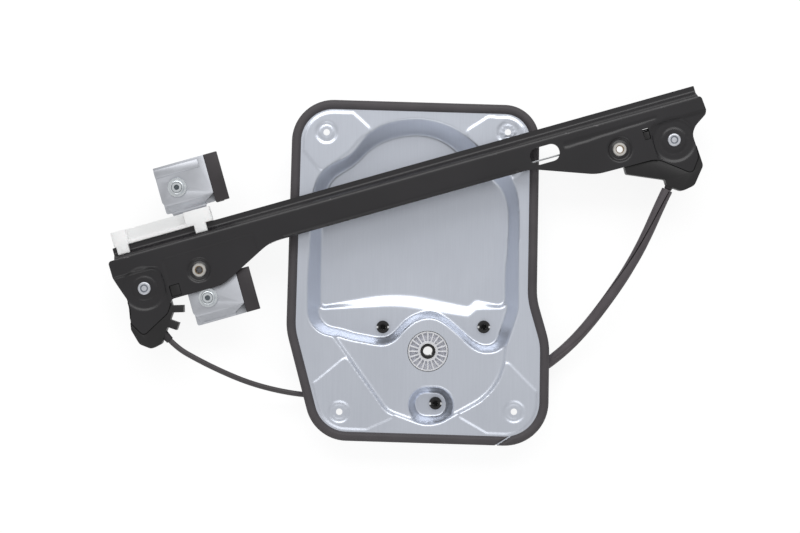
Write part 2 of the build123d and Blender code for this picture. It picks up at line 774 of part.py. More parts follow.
# Pulley housings: moulded bodies behind the rail's ends, with the cable's way out to its boot
def tangent_point(pulley_place, direction, side):
    """Where the cable leaves a pulley in a direction; side is +1 for the lower end, -1 for the upper."""
    across = (direction[1] * side, -direction[0] * side)
    return on_line(pulley_place, across, pulley_pitch_radius)


lower_exit = tangent_point(lower_pulley, lower_outlet, 1)
upper_exit = tangent_point(upper_pulley, upper_outlet, -1)


def outlet_plane(exit_point, direction, distance):
    """A plane across the cable's way out of a pulley housing, facing outwards."""
    s, v = on_line(exit_point, direction, distance)
    centre = rail.from_local_coords((s, v, pulley_level))
    tip = rail.from_local_coords((s + direction[0], v + direction[1], pulley_level))
    return Plane(centre, z_dir=tip - centre)


lower_end = (lower_pulley, lower_exit, lower_outlet, lower_boot_start)
upper_end = (upper_pulley, upper_exit, upper_outlet, upper_boot_start)
lower_shape = (lower_housing_corners, lower_end_corners, lower_window_arm, lower_window_tab, 1)
upper_shape = (upper_housing_corners, upper_end_corners, upper_window_arm, upper_window_tab, -1)
pan_back = web_back - pan_depth - slide_gap
cavity_radius = pulley_rim_radius + pulley_gap
cavity_floor = pulley_level - half_thick - pulley_gap
for name, end, shape in (
    ("lower_pulley_housing", lower_end, lower_shape), ("upper_pulley_housing", upper_end, upper_shape)
):
    place, exit_point, direction, boot_start = end
    corners, plate_corners, arm, tab, side = shape
    with BuildPart() as pulley_housing:
        with BuildSketch(rail.offset(pulley_housing_back)):
            draw(corners)
            if side > 0:
                for s, v, length, width, turn in lower_housing_tabs:
                    with Locations((s, v)):
                        Rectangle(length, width, rotation=turn)
        extrude(amount=pulley_housing_front - pulley_housing_back)
        with BuildSketch(rail.offset(pan_back)):
            draw(grown(plate_corners, pan_gap))
        extrude(amount=pulley_housing_front, mode=Mode.SUBTRACT)
        for (s, v, length, width), front in ((arm, pan_back), (tab, window_tab_front)):
            with BuildSketch(rail.offset(pulley_housing_back)):
                with Locations((s, v)):
                    Rectangle(length, width)
            extrude(amount=front - pulley_housing_back)
        with BuildSketch(rail.offset(cavity_floor)):
            with Locations(place):
                Circle(cavity_radius)
        extrude(amount=pulley_housing_front, mode=Mode.SUBTRACT)
        with BuildSketch(rail.offset(pulley_housing_back)):
            with Locations(place):
                Circle(rivet_radius + running_gap)
        extrude(amount=pulley_housing_front, mode=Mode.SUBTRACT)
        with BuildSketch(rail.offset(pulley_level - groove_half)):
            with Locations((place[0] + side * cavity_radius, cable_v)):
                Rectangle(2 * cavity_radius, 2 * groove_half)
        extrude(amount=pulley_housing_front, mode=Mode.SUBTRACT)
        with BuildSketch(outlet_plane(exit_point, direction, boot_start)):
            Circle(boot_radius)
        extrude(amount=boot_length, mode=Mode.SUBTRACT)
        with BuildSketch(outlet_plane(exit_point, direction, 0)):
            Circle(groove_half)
        extrude(amount=boot_start, mode=Mode.SUBTRACT)
    pulley_housing.part.label = name
    export_step(pulley_housing.part, f"parts/{name}.step")

# Boots that hold the sheath ends in the pulley housings
for name, end in (("lower_boot", lower_end), ("upper_boot", upper_end)):
    _, exit_point, direction, boot_start = end
    with BuildPart() as boot:
        with BuildSketch(outlet_plane(exit_point, direction, boot_start)):
            Circle(boot_radius)
        with BuildSketch(outlet_plane(exit_point, direction, boot_start + boot_length)):
            Circle(boot_tip_radius)
        loft(ruled=True)
        with BuildSketch(outlet_plane(exit_point, direction, boot_start + boot_length)):
            Circle(sheath_radius + sheath_fit)
        extrude(amount=-boot_seat_depth, mode=Mode.SUBTRACT)
        with BuildSketch(outlet_plane(exit_point, direction, boot_start)):
            Circle(groove_half)
        extrude(amount=boot_length, mode=Mode.SUBTRACT)
    boot.part.label = name
    export_step(boot.part, f"parts/{name}.step")

# Rail cable: taut along the rail, round both pulleys and out to the sheath ends
lower_seat = lower_boot_start + boot_length - boot_seat_depth
upper_seat = upper_boot_start + boot_length - boot_seat_depth
lower_corner_s = lower_exit[0] + lower_outlet[0] * (cable_v - lower_exit[1]) / lower_outlet[1]
upper_corner_s = upper_exit[0] + upper_outlet[0] * (cable_v - upper_exit[1]) / upper_outlet[1]
rail_cable_points = [
    on_line(lower_exit, lower_outlet, lower_seat),
    (lower_corner_s, cable_v),
    (upper_corner_s, cable_v),
    on_line(upper_exit, upper_outlet, upper_seat),
]
with BuildPart() as rail_cable:
    with BuildLine(rail.offset(pulley_level)) as cable_path:
        FilletPolyline(*rail_cable_points, radius=pulley_pitch_radius)
    with BuildSketch(Plane(cable_path.line @ 0, z_dir=cable_path.line % 0)):
        Circle(cable_radius)
    sweep()
rail_cable.part.label = "rail_cable"
export_step(rail_cable.part, "parts/rail_cable.step")


# Sheaths: from the pulley housings, down past the panel's edge and behind it to the drum housing
def outlet_point(exit_point, direction, distance):
    """A point on a sheath's straight start, in the part's frame."""
    s, v = on_line(exit_point, direction, distance)
    return rail.from_local_coords((s, v, pulley_level))


def inlet_point(start, direction, distance):
    """A point on a sheath's straight end at the drum housing."""
    return Vector(*on_line(start, direction, distance), drum_cable_level)


inlet_seat = inlet_length - inlet_seat_depth
lower_route = [
    outlet_point(lower_exit, lower_outlet, lower_seat),
    outlet_point(lower_exit, lower_outlet, lower_seat + lower_outlet_straight),
    Vector(-189.5, -84.0, 35.5),
    Vector(-168.0, -95.2, 30.8),
    Vector(-145.5, -105.2, 25.2),
    Vector(-121.5, -112.6, 19.6),
    Vector(-96.5, -117.4, 14.8),
    Vector(-70.5, -119.0, 10.8),
    Vector(-46.0, -117.0, 8.6),
    inlet_point(left_tangent, left_inlet_dir, inlet_seat + left_inlet_straight),
    inlet_point(left_tangent, left_inlet_dir, inlet_seat),
]
upper_route = [
    outlet_point(upper_exit, upper_outlet, upper_seat),
    outlet_point(upper_exit, upper_outlet, upper_seat + upper_outlet_straight),
    Vector(214.0, 24.0, 35.4),
    Vector(200.0, -2.5, 32.0),
    Vector(183.6, -27.6, 27.4),
    Vector(166.0, -52.0, 21.8),
    Vector(147.0, -73.6, 16.6),
    Vector(124.5, -92.0, 12.6),
    Vector(99.5, -107.4, 9.6),
    inlet_point(right_tangent, right_inlet_dir, inlet_seat + right_inlet_straight),
    inlet_point(right_tangent, right_inlet_dir, inlet_seat),
]
sleeve_route = [
    upper_route[0] + (upper_route[1] - upper_route[0]) * 0.3,
    *upper_route[1:-2],
    upper_route[-3] + (upper_route[-2] - upper_route[-3]) * 0.8,
]


def bend_radii(route):
    """As large an arc at each corner as its two runs allow."""
    radii = []
    for before, corner, after in zip(route, route[1:], route[2:]):
        turn = (corner - before).get_angle(after - corner)
        run = min((corner - before).length, (after - corner).length)
        radii.append(0.45 * run / tan(radians(turn / 2)))
    return radii


def make_tube(route, outer_radius, inner_radius):
    """Sweep a round tube along straight runs joined by tangent arcs."""
    with BuildPart() as tube:
        with BuildLine() as path:
            FilletPolyline(*route, radius=bend_radii(route))
        with BuildSketch(Plane(path.line @ 0, z_dir=path.line % 0)):
            Circle(outer_radius)
            if inner_radius > 0:
                Circle(inner_radius, mode=Mode.SUBTRACT)
        sweep()
    return tube.part, path.wire().length


cords = (
    ("lower_sheath", lower_route, sheath_radius, 0),
    ("upper_sheath", upper_route, sheath_radius, 0),
    ("upper_sleeve", sleeve_route, sleeve_radius, sleeve_bore_radius),
)
for name, route, outer_radius, inner_radius in cords:
    tube, length = make_tube(route, outer_radius, inner_radius)
    print(name, "length", round(length, 1), "radii", [round(r) for r in bend_radii(route)])
    tube.label = name
    export_step(tube, f"parts/{name}.step")

# Slider: nylon shoe that hooks over the lip and carries the cable's nipples
hook_slope = (lip_bend - web_top) / web_back
hook_low = rail_sheet + slide_gap
hook_high = slider_block_front - hook_bevel


def wall_front_v(level):
    """The front of the rail's sloped wall, at a level in front of the lip's back."""
    return lip_bend + rail_sheet * hypot(1, hook_slope) - hook_slope * level


hook_profile = [
    (lip_top + slide_gap, hook_low),
    (wall_front_v(hook_low) + wall_gap, hook_low),
    (wall_front_v(hook_high) + wall_gap, hook_high),
    (wall_front_v(hook_high) + wall_gap + hook_bevel, slider_block_front),
    (lip_top + slide_gap, slider_block_front),
]
nipple_places = [guide_start + nipple_inset, slider_end - nipple_inset - nipple_length]
block_edge = lip_top + slide_gap
with BuildPart() as slider:
    with BuildSketch(rail.offset(carrier_front)):
        with Locations((slider_start, slider_back_depth)):
            Rectangle(slider_end - slider_start, slider_top - slider_back_depth, align=Align.MIN)
        with Locations((guide_start, guide_bottom)):
            Rectangle(slider_end - guide_start, slider_top - guide_bottom, align=Align.MIN)
    extrude(amount=-slide_gap - carrier_front)
    with BuildSketch(rail.offset(carrier_front)):
        with Locations((slider_start, block_edge)):
            Rectangle(slider_first_block, slider_top - block_edge, align=Align.MIN)
        with Locations((slider_end - slider_last_block, block_edge)):
            Rectangle(slider_last_block, slider_top - block_edge, align=Align.MIN)
    extrude(amount=slider_block_front - carrier_front)
    with BuildSketch(rail.offset(carrier_front)):
        with Locations((slider_start, block_edge)):
            Rectangle(slider_end - slider_start, slider_bar_width, align=Align.MIN)
    extrude(amount=slider_bar_front - carrier_front)
    with BuildSketch(rail.offset(-slide_gap)):
        with Locations((guide_start, guide_bottom)):
            Rectangle(slider_end - guide_start, guide_top - guide_bottom, align=Align.MIN)
    extrude(amount=guide_front + slide_gap)
    for hook_s in (lower_hook_s, upper_hook_s):
        with BuildSketch(rail_section.offset(hook_s - hook_width / 2)):
            with BuildLine():
                Polyline(*hook_profile, close=True)
            make_face()
        extrude(amount=hook_width)
    with BuildSketch(rail_section.offset(guide_start)):
        with Locations((cable_v, pulley_level)):
            Circle(cable_radius + nipple_clearance)
    extrude(amount=slider_end - guide_start, mode=Mode.SUBTRACT)
    for nipple_s in nipple_places:
        with BuildSketch(rail_section.offset(nipple_s)):
            with Locations((cable_v, pulley_level)):
                Circle(nipple_radius)
        extrude(amount=nipple_length, mode=Mode.SUBTRACT)
slider.part.label = "slider"
export_step(slider.part, "parts/slider.step")

# Cable nipples in the slider
with BuildPart() as cable_nipples:
    for nipple_s in nipple_places:
        with BuildSketch(rail_section.offset(nipple_s)):
            with Locations((cable_v, pulley_level)):
                Circle(nipple_radius)
                Circle(cable_radius + nipple_clearance, mode=Mode.SUBTRACT)
        extrude(amount=nipple_length)
cable_nipples.part.label = "cable_nipples"
export_step(cable_nipples.part, "parts/cable_nipples.step")

# Carrier plate behind the rail: the rear jaw of both clamps, joined by a waist
screw_places = [(screw_s, screw_v), (screw_s, lower_v(screw_v))]
waist_low = lower_v(clamp_outer) - lower_clamp_trim
waist_length = clamp_inner + waist_rise - waist_low
waist_centre = waist_low + waist_length / 2
with BuildPart() as carrier_plate:
    with BuildSketch(rail.offset(carrier_back)) as carrier_outline:
        with Locations((clamp_start, lower_v(clamp_inner))):
            Rectangle(clamp_end - clamp_start, clamp_outer - lower_v(clamp_inner), align=Align.MIN)
        with Locations((clamp_start, waist_centre)):
            Rectangle(2 * waist_cut_start, waist_length, mode=Mode.SUBTRACT)
        with Locations((clamp_end, waist_centre)):
            Rectangle(2 * waist_cut_end, waist_length, mode=Mode.SUBTRACT)
        fillet(carrier_outline.vertices(), carrier_corner)
        with Locations(*screw_places):
            Circle(screw_hole_radius, mode=Mode.SUBTRACT)
    extrude(amount=carrier_thick)
carrier_plate.part.label = "carrier_plate"
export_step(carrier_plate.part, "parts/carrier_plate.step")


# Clamp plates, pads, screws and nuts: the same parts above the rail and below it
def place_v(v, side):
    """A place across the rail on the upper clamp (side +1) or on the lower one (side -1)."""
    return v if side > 0 else lower_v(v)


def box_between(s0, s1, v0, v1, w0, w1, side):
    """A block between two places along, across and in front of the rail's back."""
    with BuildSketch(rail.offset(w0)) as block:
        with Locations((s0, place_v(v0, side))):
            Rectangle(s1 - s0, v1 - v0, align=Align.MIN)
    extrude(block.sketch, amount=w1 - w0)


plate_path = [
    (clamp_bend, clamp_plate_back), (clamp_foot, carrier_front), (clamp_inner, carrier_front),
]
start_cut = [
    (clamp_start - 1, clamp_inner - 1),
    (clamp_start + clamp_start_cut[0], clamp_inner - 1),
    (clamp_start - 1, clamp_inner + clamp_start_cut[1]),
]
end_cut = [
    (clamp_end + 1, clamp_inner - 1),
    (clamp_end - clamp_end_cut[0], clamp_inner - 1),
    (clamp_end - clamp_end_cut[0], clamp_inner + clamp_end_cut[1]),
    (clamp_end + 1, clamp_inner + clamp_end_cut[2]),
]
for name, side in (("upper_clamp_plate", 1), ("lower_clamp_plate", -1)):
    trim = 0 if side > 0 else lower_clamp_trim
    path = [(clamp_outer - trim, clamp_plate_back)] + plate_path
    with BuildPart() as clamp_plate:
        with BuildSketch(rail_section.offset(clamp_start)):
            with BuildLine():
                FilletPolyline(*[(place_v(v, side), w) for v, w in path], radius=clamp_bend_radius)
                offset(amount=clamp_plate_thick, side=Side.RIGHT, closed=True)
            make_face()
        extrude(amount=clamp_end - clamp_start)
        if side > 0:
            with BuildSketch(rail_section.offset(clamp_start)):
                with Locations((clamp_bead_v, clamp_plate_front)):
                    Ellipse(clamp_bead_radius, clamp_bead_rise)
            extrude(amount=clamp_end - clamp_start - clamp_bead_end)
        for cut in (start_cut, end_cut):
            with BuildSketch(rail.offset(carrier_front)):
                with BuildLine():
                    Polyline(*[(s, place_v(v, side)) for s, v in cut], close=True)
                make_face()
            extrude(amount=rail_depth, mode=Mode.SUBTRACT)
        with BuildSketch(rail.offset(carrier_front)):
            with Locations((screw_s, place_v(screw_v, side))):
                Circle(screw_hole_radius)
        extrude(amount=rail_depth, mode=Mode.SUBTRACT)
    clamp_plate.part.label = name
    export_step(clamp_plate.part, f"parts/{name}.step")

slot_back = carrier_front + pad_leaf
slot_front = clamp_plate_back - pad_leaf
leaf_inner = clamp_bend + 2
leaf_start = pad_stop_s - pad_stop_thick
front_end = clamp_end + pad_front_bead
back_end = clamp_end + pad_back_bead
bead_front = clamp_plate_front + pad_bead_rise
bead_back = carrier_back - pad_bead_rise
for name, side in (("upper_clamp_pad", 1), ("lower_clamp_pad", -1)):
    outer = clamp_outer if side > 0 else clamp_outer - lower_clamp_trim
    with BuildPart() as clamp_pad:
        box_between(pad_stop_s, clamp_end, leaf_inner, outer, slot_front, clamp_plate_back, side)
        box_between(pad_stop_s, clamp_end, leaf_inner, outer, carrier_front, slot_back, side)
        box_between(leaf_start, pad_stop_s, leaf_inner, outer, carrier_front, clamp_plate_back, side)
        box_between(clamp_end, front_end, clamp_inner, outer, slot_front, bead_front, side)
        box_between(clamp_end, back_end, clamp_inner, outer, bead_back, slot_back, side)
        fillet(clamp_pad.edges().filter_by(Axis(rail.origin, rail.y_dir)).group_by(Axis.Z)[-1], pad_round)
    clamp_pad.part.label = name
    export_step(clamp_pad.part, f"parts/{name}.step")

with BuildPart() as clamp_screws:
    with BuildSketch(rail.offset(nut_back + screw_tip_inset)):
        with Locations(*screw_places):
            Circle(screw_radius)
    extrude(amount=clamp_plate_front - nut_back - screw_tip_inset)
    with BuildSketch(rail.offset(clamp_plate_front)):
        with Locations(*screw_places):
            Circle(screw_flange_radius)
    extrude(amount=screw_flange_thick)
    with BuildSketch(rail.offset(clamp_plate_front + screw_flange_thick)):
        with Locations(*screw_places):
            Circle(screw_head_radius)
    extrude(amount=screw_head_height)
    fillet(clamp_screws.edges().filter_by(GeomType.CIRCLE).group_by(Axis.Z)[-1], screw_head_round)
    with BuildSketch(rail.offset(clamp_plate_front + screw_flange_thick + screw_head_height)):
        with Locations(*screw_places):
            RegularPolygon(screw_recess_radius, 6)
    extrude(amount=-screw_recess_depth, mode=Mode.SUBTRACT)
clamp_screws.part.label = "clamp_screws"
export_step(clamp_screws.part, "parts/clamp_screws.step")

with BuildPart() as clamp_nuts:
    with BuildSketch(rail.offset(nut_back)):
        with Locations(*screw_places):
            RegularPolygon(nut_across_flats / 2, 6, major_radius=False)
            Circle(screw_radius + nut_fit, mode=Mode.SUBTRACT)
    extrude(amount=nut_thick)
clamp_nuts.part.label = "clamp_nuts"
export_step(clamp_nuts.part, "parts/clamp_nuts.step")
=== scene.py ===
from math import ceil, cos, pi, radians, sin

import bmesh
import bpy
from mathutils import Matrix, Vector
from mathutils.bvhtree import BVHTree
from mathutils.kdtree import KDTree


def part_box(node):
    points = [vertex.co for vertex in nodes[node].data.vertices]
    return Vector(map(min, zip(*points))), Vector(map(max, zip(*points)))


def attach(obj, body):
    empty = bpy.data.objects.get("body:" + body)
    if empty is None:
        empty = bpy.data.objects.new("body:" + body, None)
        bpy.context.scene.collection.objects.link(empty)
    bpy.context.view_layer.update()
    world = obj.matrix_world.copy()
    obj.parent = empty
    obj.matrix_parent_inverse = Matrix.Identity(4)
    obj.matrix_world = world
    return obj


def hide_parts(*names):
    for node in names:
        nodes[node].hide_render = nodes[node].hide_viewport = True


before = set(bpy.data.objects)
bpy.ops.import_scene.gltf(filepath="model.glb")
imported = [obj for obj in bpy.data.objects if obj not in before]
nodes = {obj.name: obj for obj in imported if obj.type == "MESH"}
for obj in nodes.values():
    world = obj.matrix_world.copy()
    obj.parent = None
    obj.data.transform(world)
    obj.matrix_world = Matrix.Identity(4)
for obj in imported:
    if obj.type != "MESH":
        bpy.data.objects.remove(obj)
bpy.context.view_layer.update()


# Camera: straight above the regulator, as a product picture is taken.
# A 70 mm lens 1.44 m up keeps the near parts hardly larger than the far ones.
camera = bpy.data.objects.new("camera", bpy.data.cameras.new("camera"))
camera.data.sensor_width = 36.0
camera.data.lens = 70.0
camera.data.clip_start = 0.01
camera.location = (-0.00675, 0.0001, 1.44)
bpy.context.scene.collection.objects.link(camera)
bpy.context.scene.camera = camera


# Cable sheaths: extruded black plastic over a steel coil, stiff enough to hold their curve.
# Each one is pushed into the seat of a pulley housing at one end
# and into a seat of the drum housing at the other.
class Wire:
    """A shader socket that works in Python sums."""

    def __init__(self, finish, socket):
        self.finish = finish
        self.socket = socket

    def sum(self, operation, first, second):
        return self.finish.node(
            "ShaderNodeMath", {"operation": operation}, {0: first, 1: second}
        )

    def __add__(self, other):
        return self.sum("ADD", self, other)

    def __radd__(self, other):
        return self.sum("ADD", other, self)

    def __sub__(self, other):
        return self.sum("SUBTRACT", self, other)

    def __rsub__(self, other):
        return self.sum("SUBTRACT", other, self)

    def __mul__(self, other):
        return self.sum("MULTIPLY", self, other)

    def __rmul__(self, other):
        return self.sum("MULTIPLY", other, self)

    def __gt__(self, other):
        return self.sum("GREATER_THAN", self, other)

    def __lt__(self, other):
        return self.sum("LESS_THAN", self, other)


class Finish:
    """One material, built up node by node."""

    def __init__(self, name):
        self.material = bpy.data.materials.new(name)
        self.material.use_nodes = True
        self.tree = self.material.node_tree
        self.tree.nodes.clear()

    def node(self, kind, settings, inputs, output=0):
        made = self.tree.nodes.new(kind)
        for key, value in settings.items():
            if key == "stops":
                points = made.color_ramp.elements
                while len(points) < len(value):
                    points.new(0.5)
                for point, (place, level) in zip(points, value):
                    point.position = place
                    point.color = (level, level, level, 1.0)
            else:
                setattr(made, key, value)
        for key, value in inputs.items():
            if isinstance(value, Wire):
                self.tree.links.new(value.socket, made.inputs[key])
            else:
                made.inputs[key].default_value = value
        return Wire(self, made.outputs[output]) if len(made.outputs) else None

    def place(self, turn=0.0, stretch=(1.0, 1.0, 1.0)):
        """Coordinates on the piece in metres, turned about Z and stretched."""
        coordinates = self.node("ShaderNodeTexCoord", {}, {}, "Object")
        return self.node(
            "ShaderNodeMapping",
            {},
            {"Vector": coordinates, "Rotation": (0.0, 0.0, turn), "Scale": stretch},
        )

    def noise(self, place, scale, detail=3.0, roughness=0.5):
        return self.node(
            "ShaderNodeTexNoise",
            {},
            {"Vector": place, "Scale": scale, "Detail": detail, "Roughness": roughness},
        )

    def ramp(self, value, *stops):
        return self.node("ShaderNodeValToRGB", {"stops": stops}, {"Fac": value})

    def tint(self, factor, first, second):
        return self.node(
            "ShaderNodeMix", {"data_type": "RGBA"}, {0: factor, 6: first, 7: second}, 2
        )

    def surface(self, inputs, height=None, depth=0.0001, fade=1.0):
        if height is not None:
            inputs["Normal"] = self.node(
                "ShaderNodeBump", {}, {"Height": height, "Distance": depth, "Strength": fade}
            )
        shader = self.node("ShaderNodeBsdfPrincipled", {}, inputs)
        self.node("ShaderNodeOutputMaterial", {}, {"Surface": shader})
        return self.material


def colour(red, green, blue):
    """A colour as a picture shows it, from 0 to 255, made linear for a shader."""
    shades = [level / 255 for level in (red, green, blue)]
    return (*[s / 12.92 if s < 0.04 else ((s + 0.055) / 1.055) ** 2.4 for s in shades], 1.0)


def moulded(name, dark, light, roughness, grain=0.00002):
    """Moulded or extruded plastic: slight change of shade and a fine grain."""
    finish = Finish(name)
    place = finish.place()
    cloud = finish.noise(place, scale=60.0)
    fine = finish.noise(place, scale=2600.0, detail=2.0)
    return finish.surface(
        {
            "Base Color": finish.tint(cloud, dark, light),
            "Roughness": roughness - 0.08 + cloud * 0.16,
        },
        height=fine,
        depth=grain,
    )


def line_through(name, points):
    """A smooth route with these control points."""
    curve = bpy.data.curves.new(name, "CURVE")
    curve.dimensions = "3D"
    curve.resolution_u = 24
    spline = curve.splines.new("NURBS")
    spline.points.add(len(points) - 1)
    for point, place in zip(spline.points, points):
        point.co = (*place, 1.0)
    spline.order_u = 3
    spline.use_endpoint_u = True
    return curve


def points_along(route):
    """Points read from the smooth line of a route."""
    guide = bpy.data.objects.new("guide", line_through("guide", route))
    drawn = bpy.data.meshes.new_from_object(guide)
    points = [vertex.co.copy() for vertex in drawn.vertices]
    bpy.data.objects.remove(guide)
    return points


def add_piece(name, data, material, body, replaced):
    """A visible piece in place of a plain solid, on the body that it moves with."""
    piece = bpy.data.objects.new(name, data)
    bpy.context.scene.collection.objects.link(piece)
    data.materials.clear()
    data.materials.append(material)
    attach(piece, body)
    if replaced:
        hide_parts(replaced)
    return piece


sheath_plastic = moulded("sheath_plastic", colour(58, 54, 56), colour(76, 72, 74), roughness=0.42)
lower_route = [
    (-0.216653, -0.063622, 0.0378),
    (-0.207888, -0.073223, 0.0378),
    (-0.1895, -0.0840, 0.0355),
    (-0.1680, -0.0952, 0.0308),
    (-0.1455, -0.1052, 0.0252),
    (-0.1215, -0.1126, 0.0196),
    (-0.0965, -0.1174, 0.0148),
    (-0.0705, -0.1190, 0.0108),
    (-0.0460, -0.1170, 0.0086),
    (-0.020119, -0.111110, 0.0080),
    (-0.007403, -0.108407, 0.0080),
]
upper_route = [
    (0.236194, 0.073192, 0.0378),
    (0.229074, 0.058868, 0.0378),
    (0.2140, 0.0240, 0.0354),
    (0.2000, -0.0025, 0.0320),
    (0.1836, -0.0276, 0.0274),
    (0.1660, -0.0520, 0.0218),
    (0.1470, -0.0736, 0.0166),
    (0.1245, -0.0920, 0.0126),
    (0.0995, -0.1074, 0.0096),
    (0.068278, -0.113397, 0.0080),
    (0.044803, -0.108407, 0.0080),
]
sheath_radius = 0.0025
for name, route, length in (
    ("lower_sheath", lower_route, 0.2264),
    ("upper_sheath", upper_route, 0.2883),
):
    curve = line_through(name + "_tube", route)
    curve.bevel_depth = sheath_radius
    curve.bevel_resolution = 6
    curve.use_fill_caps = True
    sheath = add_piece(name + "_tube", curve, sheath_plastic, "base", name)


# Anti-rattle sleeve: a soft extruded tube, slit along its length and pushed over the upper sheath.
# Its slit and its two flats wander round the sheath, as a sleeve does that was slipped on by hand.
sleeve_route = [
    (0.234058, 0.068895, 0.0378),
    *upper_route[1:9],
    (0.074522, -0.112198, 0.00832),
]
middle = points_along(sleeve_route)

sleeve_radius = 0.005
sleeve_bore = 0.0028
sleeve_sides = 32
slit_half_angle = radians(7)
slit_start = 1.2
slit_twist = 14.0
flat_angles = (2.3, 4.1)
flat_half_angle = 0.22
flat_depth = 0.0007


def put_in_order(shape):
    """Give a shape's corners and faces the same order on every run."""
    slant = Vector((1.0, 2 ** 0.5, 3 ** 0.5))
    shape.verts.sort(key=lambda vertex: vertex.co.dot(slant))
    shape.faces.sort(key=lambda face: face.calc_center_median().dot(slant))


def into_mesh(name, shape):
    """A finished shape as a mesh of this name."""
    mesh = bpy.data.meshes.new(name)
    shape.to_mesh(mesh)
    shape.free()
    return mesh


profile = bmesh.new()
corners = []
for radius, outer in ((sleeve_radius, True), (sleeve_bore, False)):
    for step in range(sleeve_sides + 1):
        part = step / sleeve_sides if outer else 1 - step / sleeve_sides
        angle = slit_half_angle + part * (2 * pi - 2 * slit_half_angle)
        dented = radius
        if outer:
            for flat in flat_angles:
                dented -= flat_depth * max(0.0, 1 - abs(angle - flat) / flat_half_angle)
        corners.append(profile.verts.new((dented * cos(angle), dented * sin(angle), 0)))
profile.faces.new(corners)
ring = list(profile.edges)
here = Matrix.Identity(4)
travelled = 0.0
for index, point in enumerate(middle):
    before = middle[max(index - 1, 0)]
    after = middle[min(index + 1, len(middle) - 1)]
    heading = (after - before).normalized()
    travelled += (point - before).length
    side = Vector((0, 0, 1)).cross(heading).normalized()
    turn = slit_start + travelled * slit_twist
    across = Matrix((side, heading.cross(side), heading)).transposed().to_4x4()
    there = Matrix.Translation(point) @ across @ Matrix.Rotation(turn, 4, "Z")
    if index == 0:
        moved = profile.verts[:]
    else:
        grown = bmesh.ops.extrude_edge_only(profile, edges=ring)["geom"]
        moved = [item for item in grown if isinstance(item, bmesh.types.BMVert)]
        ring = [
            item for item in grown
            if isinstance(item, bmesh.types.BMEdge) and len(item.link_faces) == 1
        ]
    bmesh.ops.transform(profile, matrix=there @ here.inverted(), verts=moved)
    here = there
bmesh.ops.edgeloop_fill(profile, edges=ring)
bmesh.ops.recalc_face_normals(profile, faces=profile.faces)
for face in profile.faces:
    face.smooth = len(face.verts) == 4
put_in_order(profile)
sleeve_mesh = into_mesh("upper_sleeve_slit_tube", profile)
sleeve_mesh.set_sharp_from_angle(angle=radians(40))
sleeve_rubber = moulded(
    "sleeve_rubber", colour(66, 61, 64), colour(92, 86, 90), roughness=0.55, grain=0.00003
)
sleeve = add_piece(
    "upper_sleeve_slit_tube", sleeve_mesh, sleeve_rubber, "base", "upper_sleeve"
)


# Mounting panel: one pressing of zinc-coated sheet, with the deep motor pocket drawn into it.
# A grid laid over the part is eased over its edges, as sheet bends over a die,
# and given the sheet's gauge.
class Bend:
    """A bend line in the sheet, seen from above, with the lower side on its right."""

    def __init__(self, route):
        self.points = points_along([(x / 1000, y / 1000, 0.0) for x, y in route])
        self.tree = KDTree(len(self.points))
        for index, point in enumerate(self.points):
            self.tree.insert(point, index)
        self.tree.balance()

    def side(self, x, y):
        """Distance from the bend, negative on its lower side."""
        _, index, gap = self.tree.find((x, y, 0.0))
        first = min(index, len(self.points) - 2)
        run = self.points[first + 1] - self.points[first]
        off = Vector((x, y, 0.0)) - self.points[first]
        return gap if run.x * off.y - run.y * off.x > 0 else -gap


pocket_top = Bend([
    (-88.8, -25.0), (-88.8, 20.0), (-87.5, 55.0), (-83.8, 77.0), (-77.5, 87.0), (-64.0, 95.5),
    (-52.0, 101.0), (-44.5, 109.5), (-37.0, 120.0), (-23.0, 129.5), (-4.0, 134.0), (14.0, 134.5),
    (31.0, 131.0), (46.0, 124.5), (58.0, 115.0), (72.0, 100.0), (88.0, 88.5), (98.0, 76.0),
    (102.0, 58.0), (101.5, 20.0), (100.7, -25.0),
])
pocket_foot = Bend([
    (-80.5, -25.0), (-80.0, 20.0), (-79.0, 55.0), (-75.0, 72.5), (-67.5, 83.5), (-53.3, 91.5),
    (-44.0, 99.0), (-36.0, 107.5), (-22.6, 115.5), (-6.0, 120.5), (9.6, 121.8), (25.0, 119.5),
    (38.0, 113.0), (50.0, 103.0), (64.0, 91.5), (80.0, 80.5), (90.0, 68.0), (94.6, 50.0),
    (93.2, 20.0), (91.4, -25.0),
])
drum_wall_top = Bend([
    (92.4, -67.1), (87.6, -73.5), (81.2, -77.4), (72.4, -79.0), (62.8, -76.4), (54.8, -70.3),
    (46.8, -61.5), (37.2, -53.5), (29.2, -48.4), (21.2, -46.3), (13.2, -47.3), (5.2, -50.8),
    (-2.8, -57.5), (-9.2, -65.2), (-14.8, -69.5), (-22.0, -71.9), (-34.8, -70.0), (-47.6, -67.4),
    (-63.6, -64.7), (-73.2, -63.6),
])
drum_wall_foot = Bend([
    (91.1, -59.0), (87.8, -65.4), (83.8, -69.5), (76.5, -73.0), (68.4, -73.0), (60.3, -68.7),
    (52.2, -62.2), (42.5, -53.3), (34.4, -46.8), (26.3, -42.5), (16.6, -41.7), (6.9, -44.4),
    (-1.2, -49.5), (-8.4, -57.3), (-14.1, -63.0), (-20.6, -65.9), (-28.7, -65.8), (-36.8, -64.1),
    (-48.1, -62.0), (-64.3, -59.0), (-74.0, -57.0),
])
# each wall's bends and their levels, how far from them it reaches, and its left and right ends
# and the foot of its fading, where it blends into the plain pressing
sheet_walls = (
    (pocket_top, pocket_foot, 0.024, 0.001, 1.0, (-0.2, 0.2, -0.015, 0.015)),
    (drum_wall_top, drum_wall_foot, 0.021, 0.005, 0.012, (-0.062, 0.080, -0.2, -0.19)),
)
edge_blend = 0.003
left_blend = 0.012
right_blend = 0.010
pad_level = 0.0245
arch_left = -0.03


def share(value):
    return max(0.0, min(1.0, value))


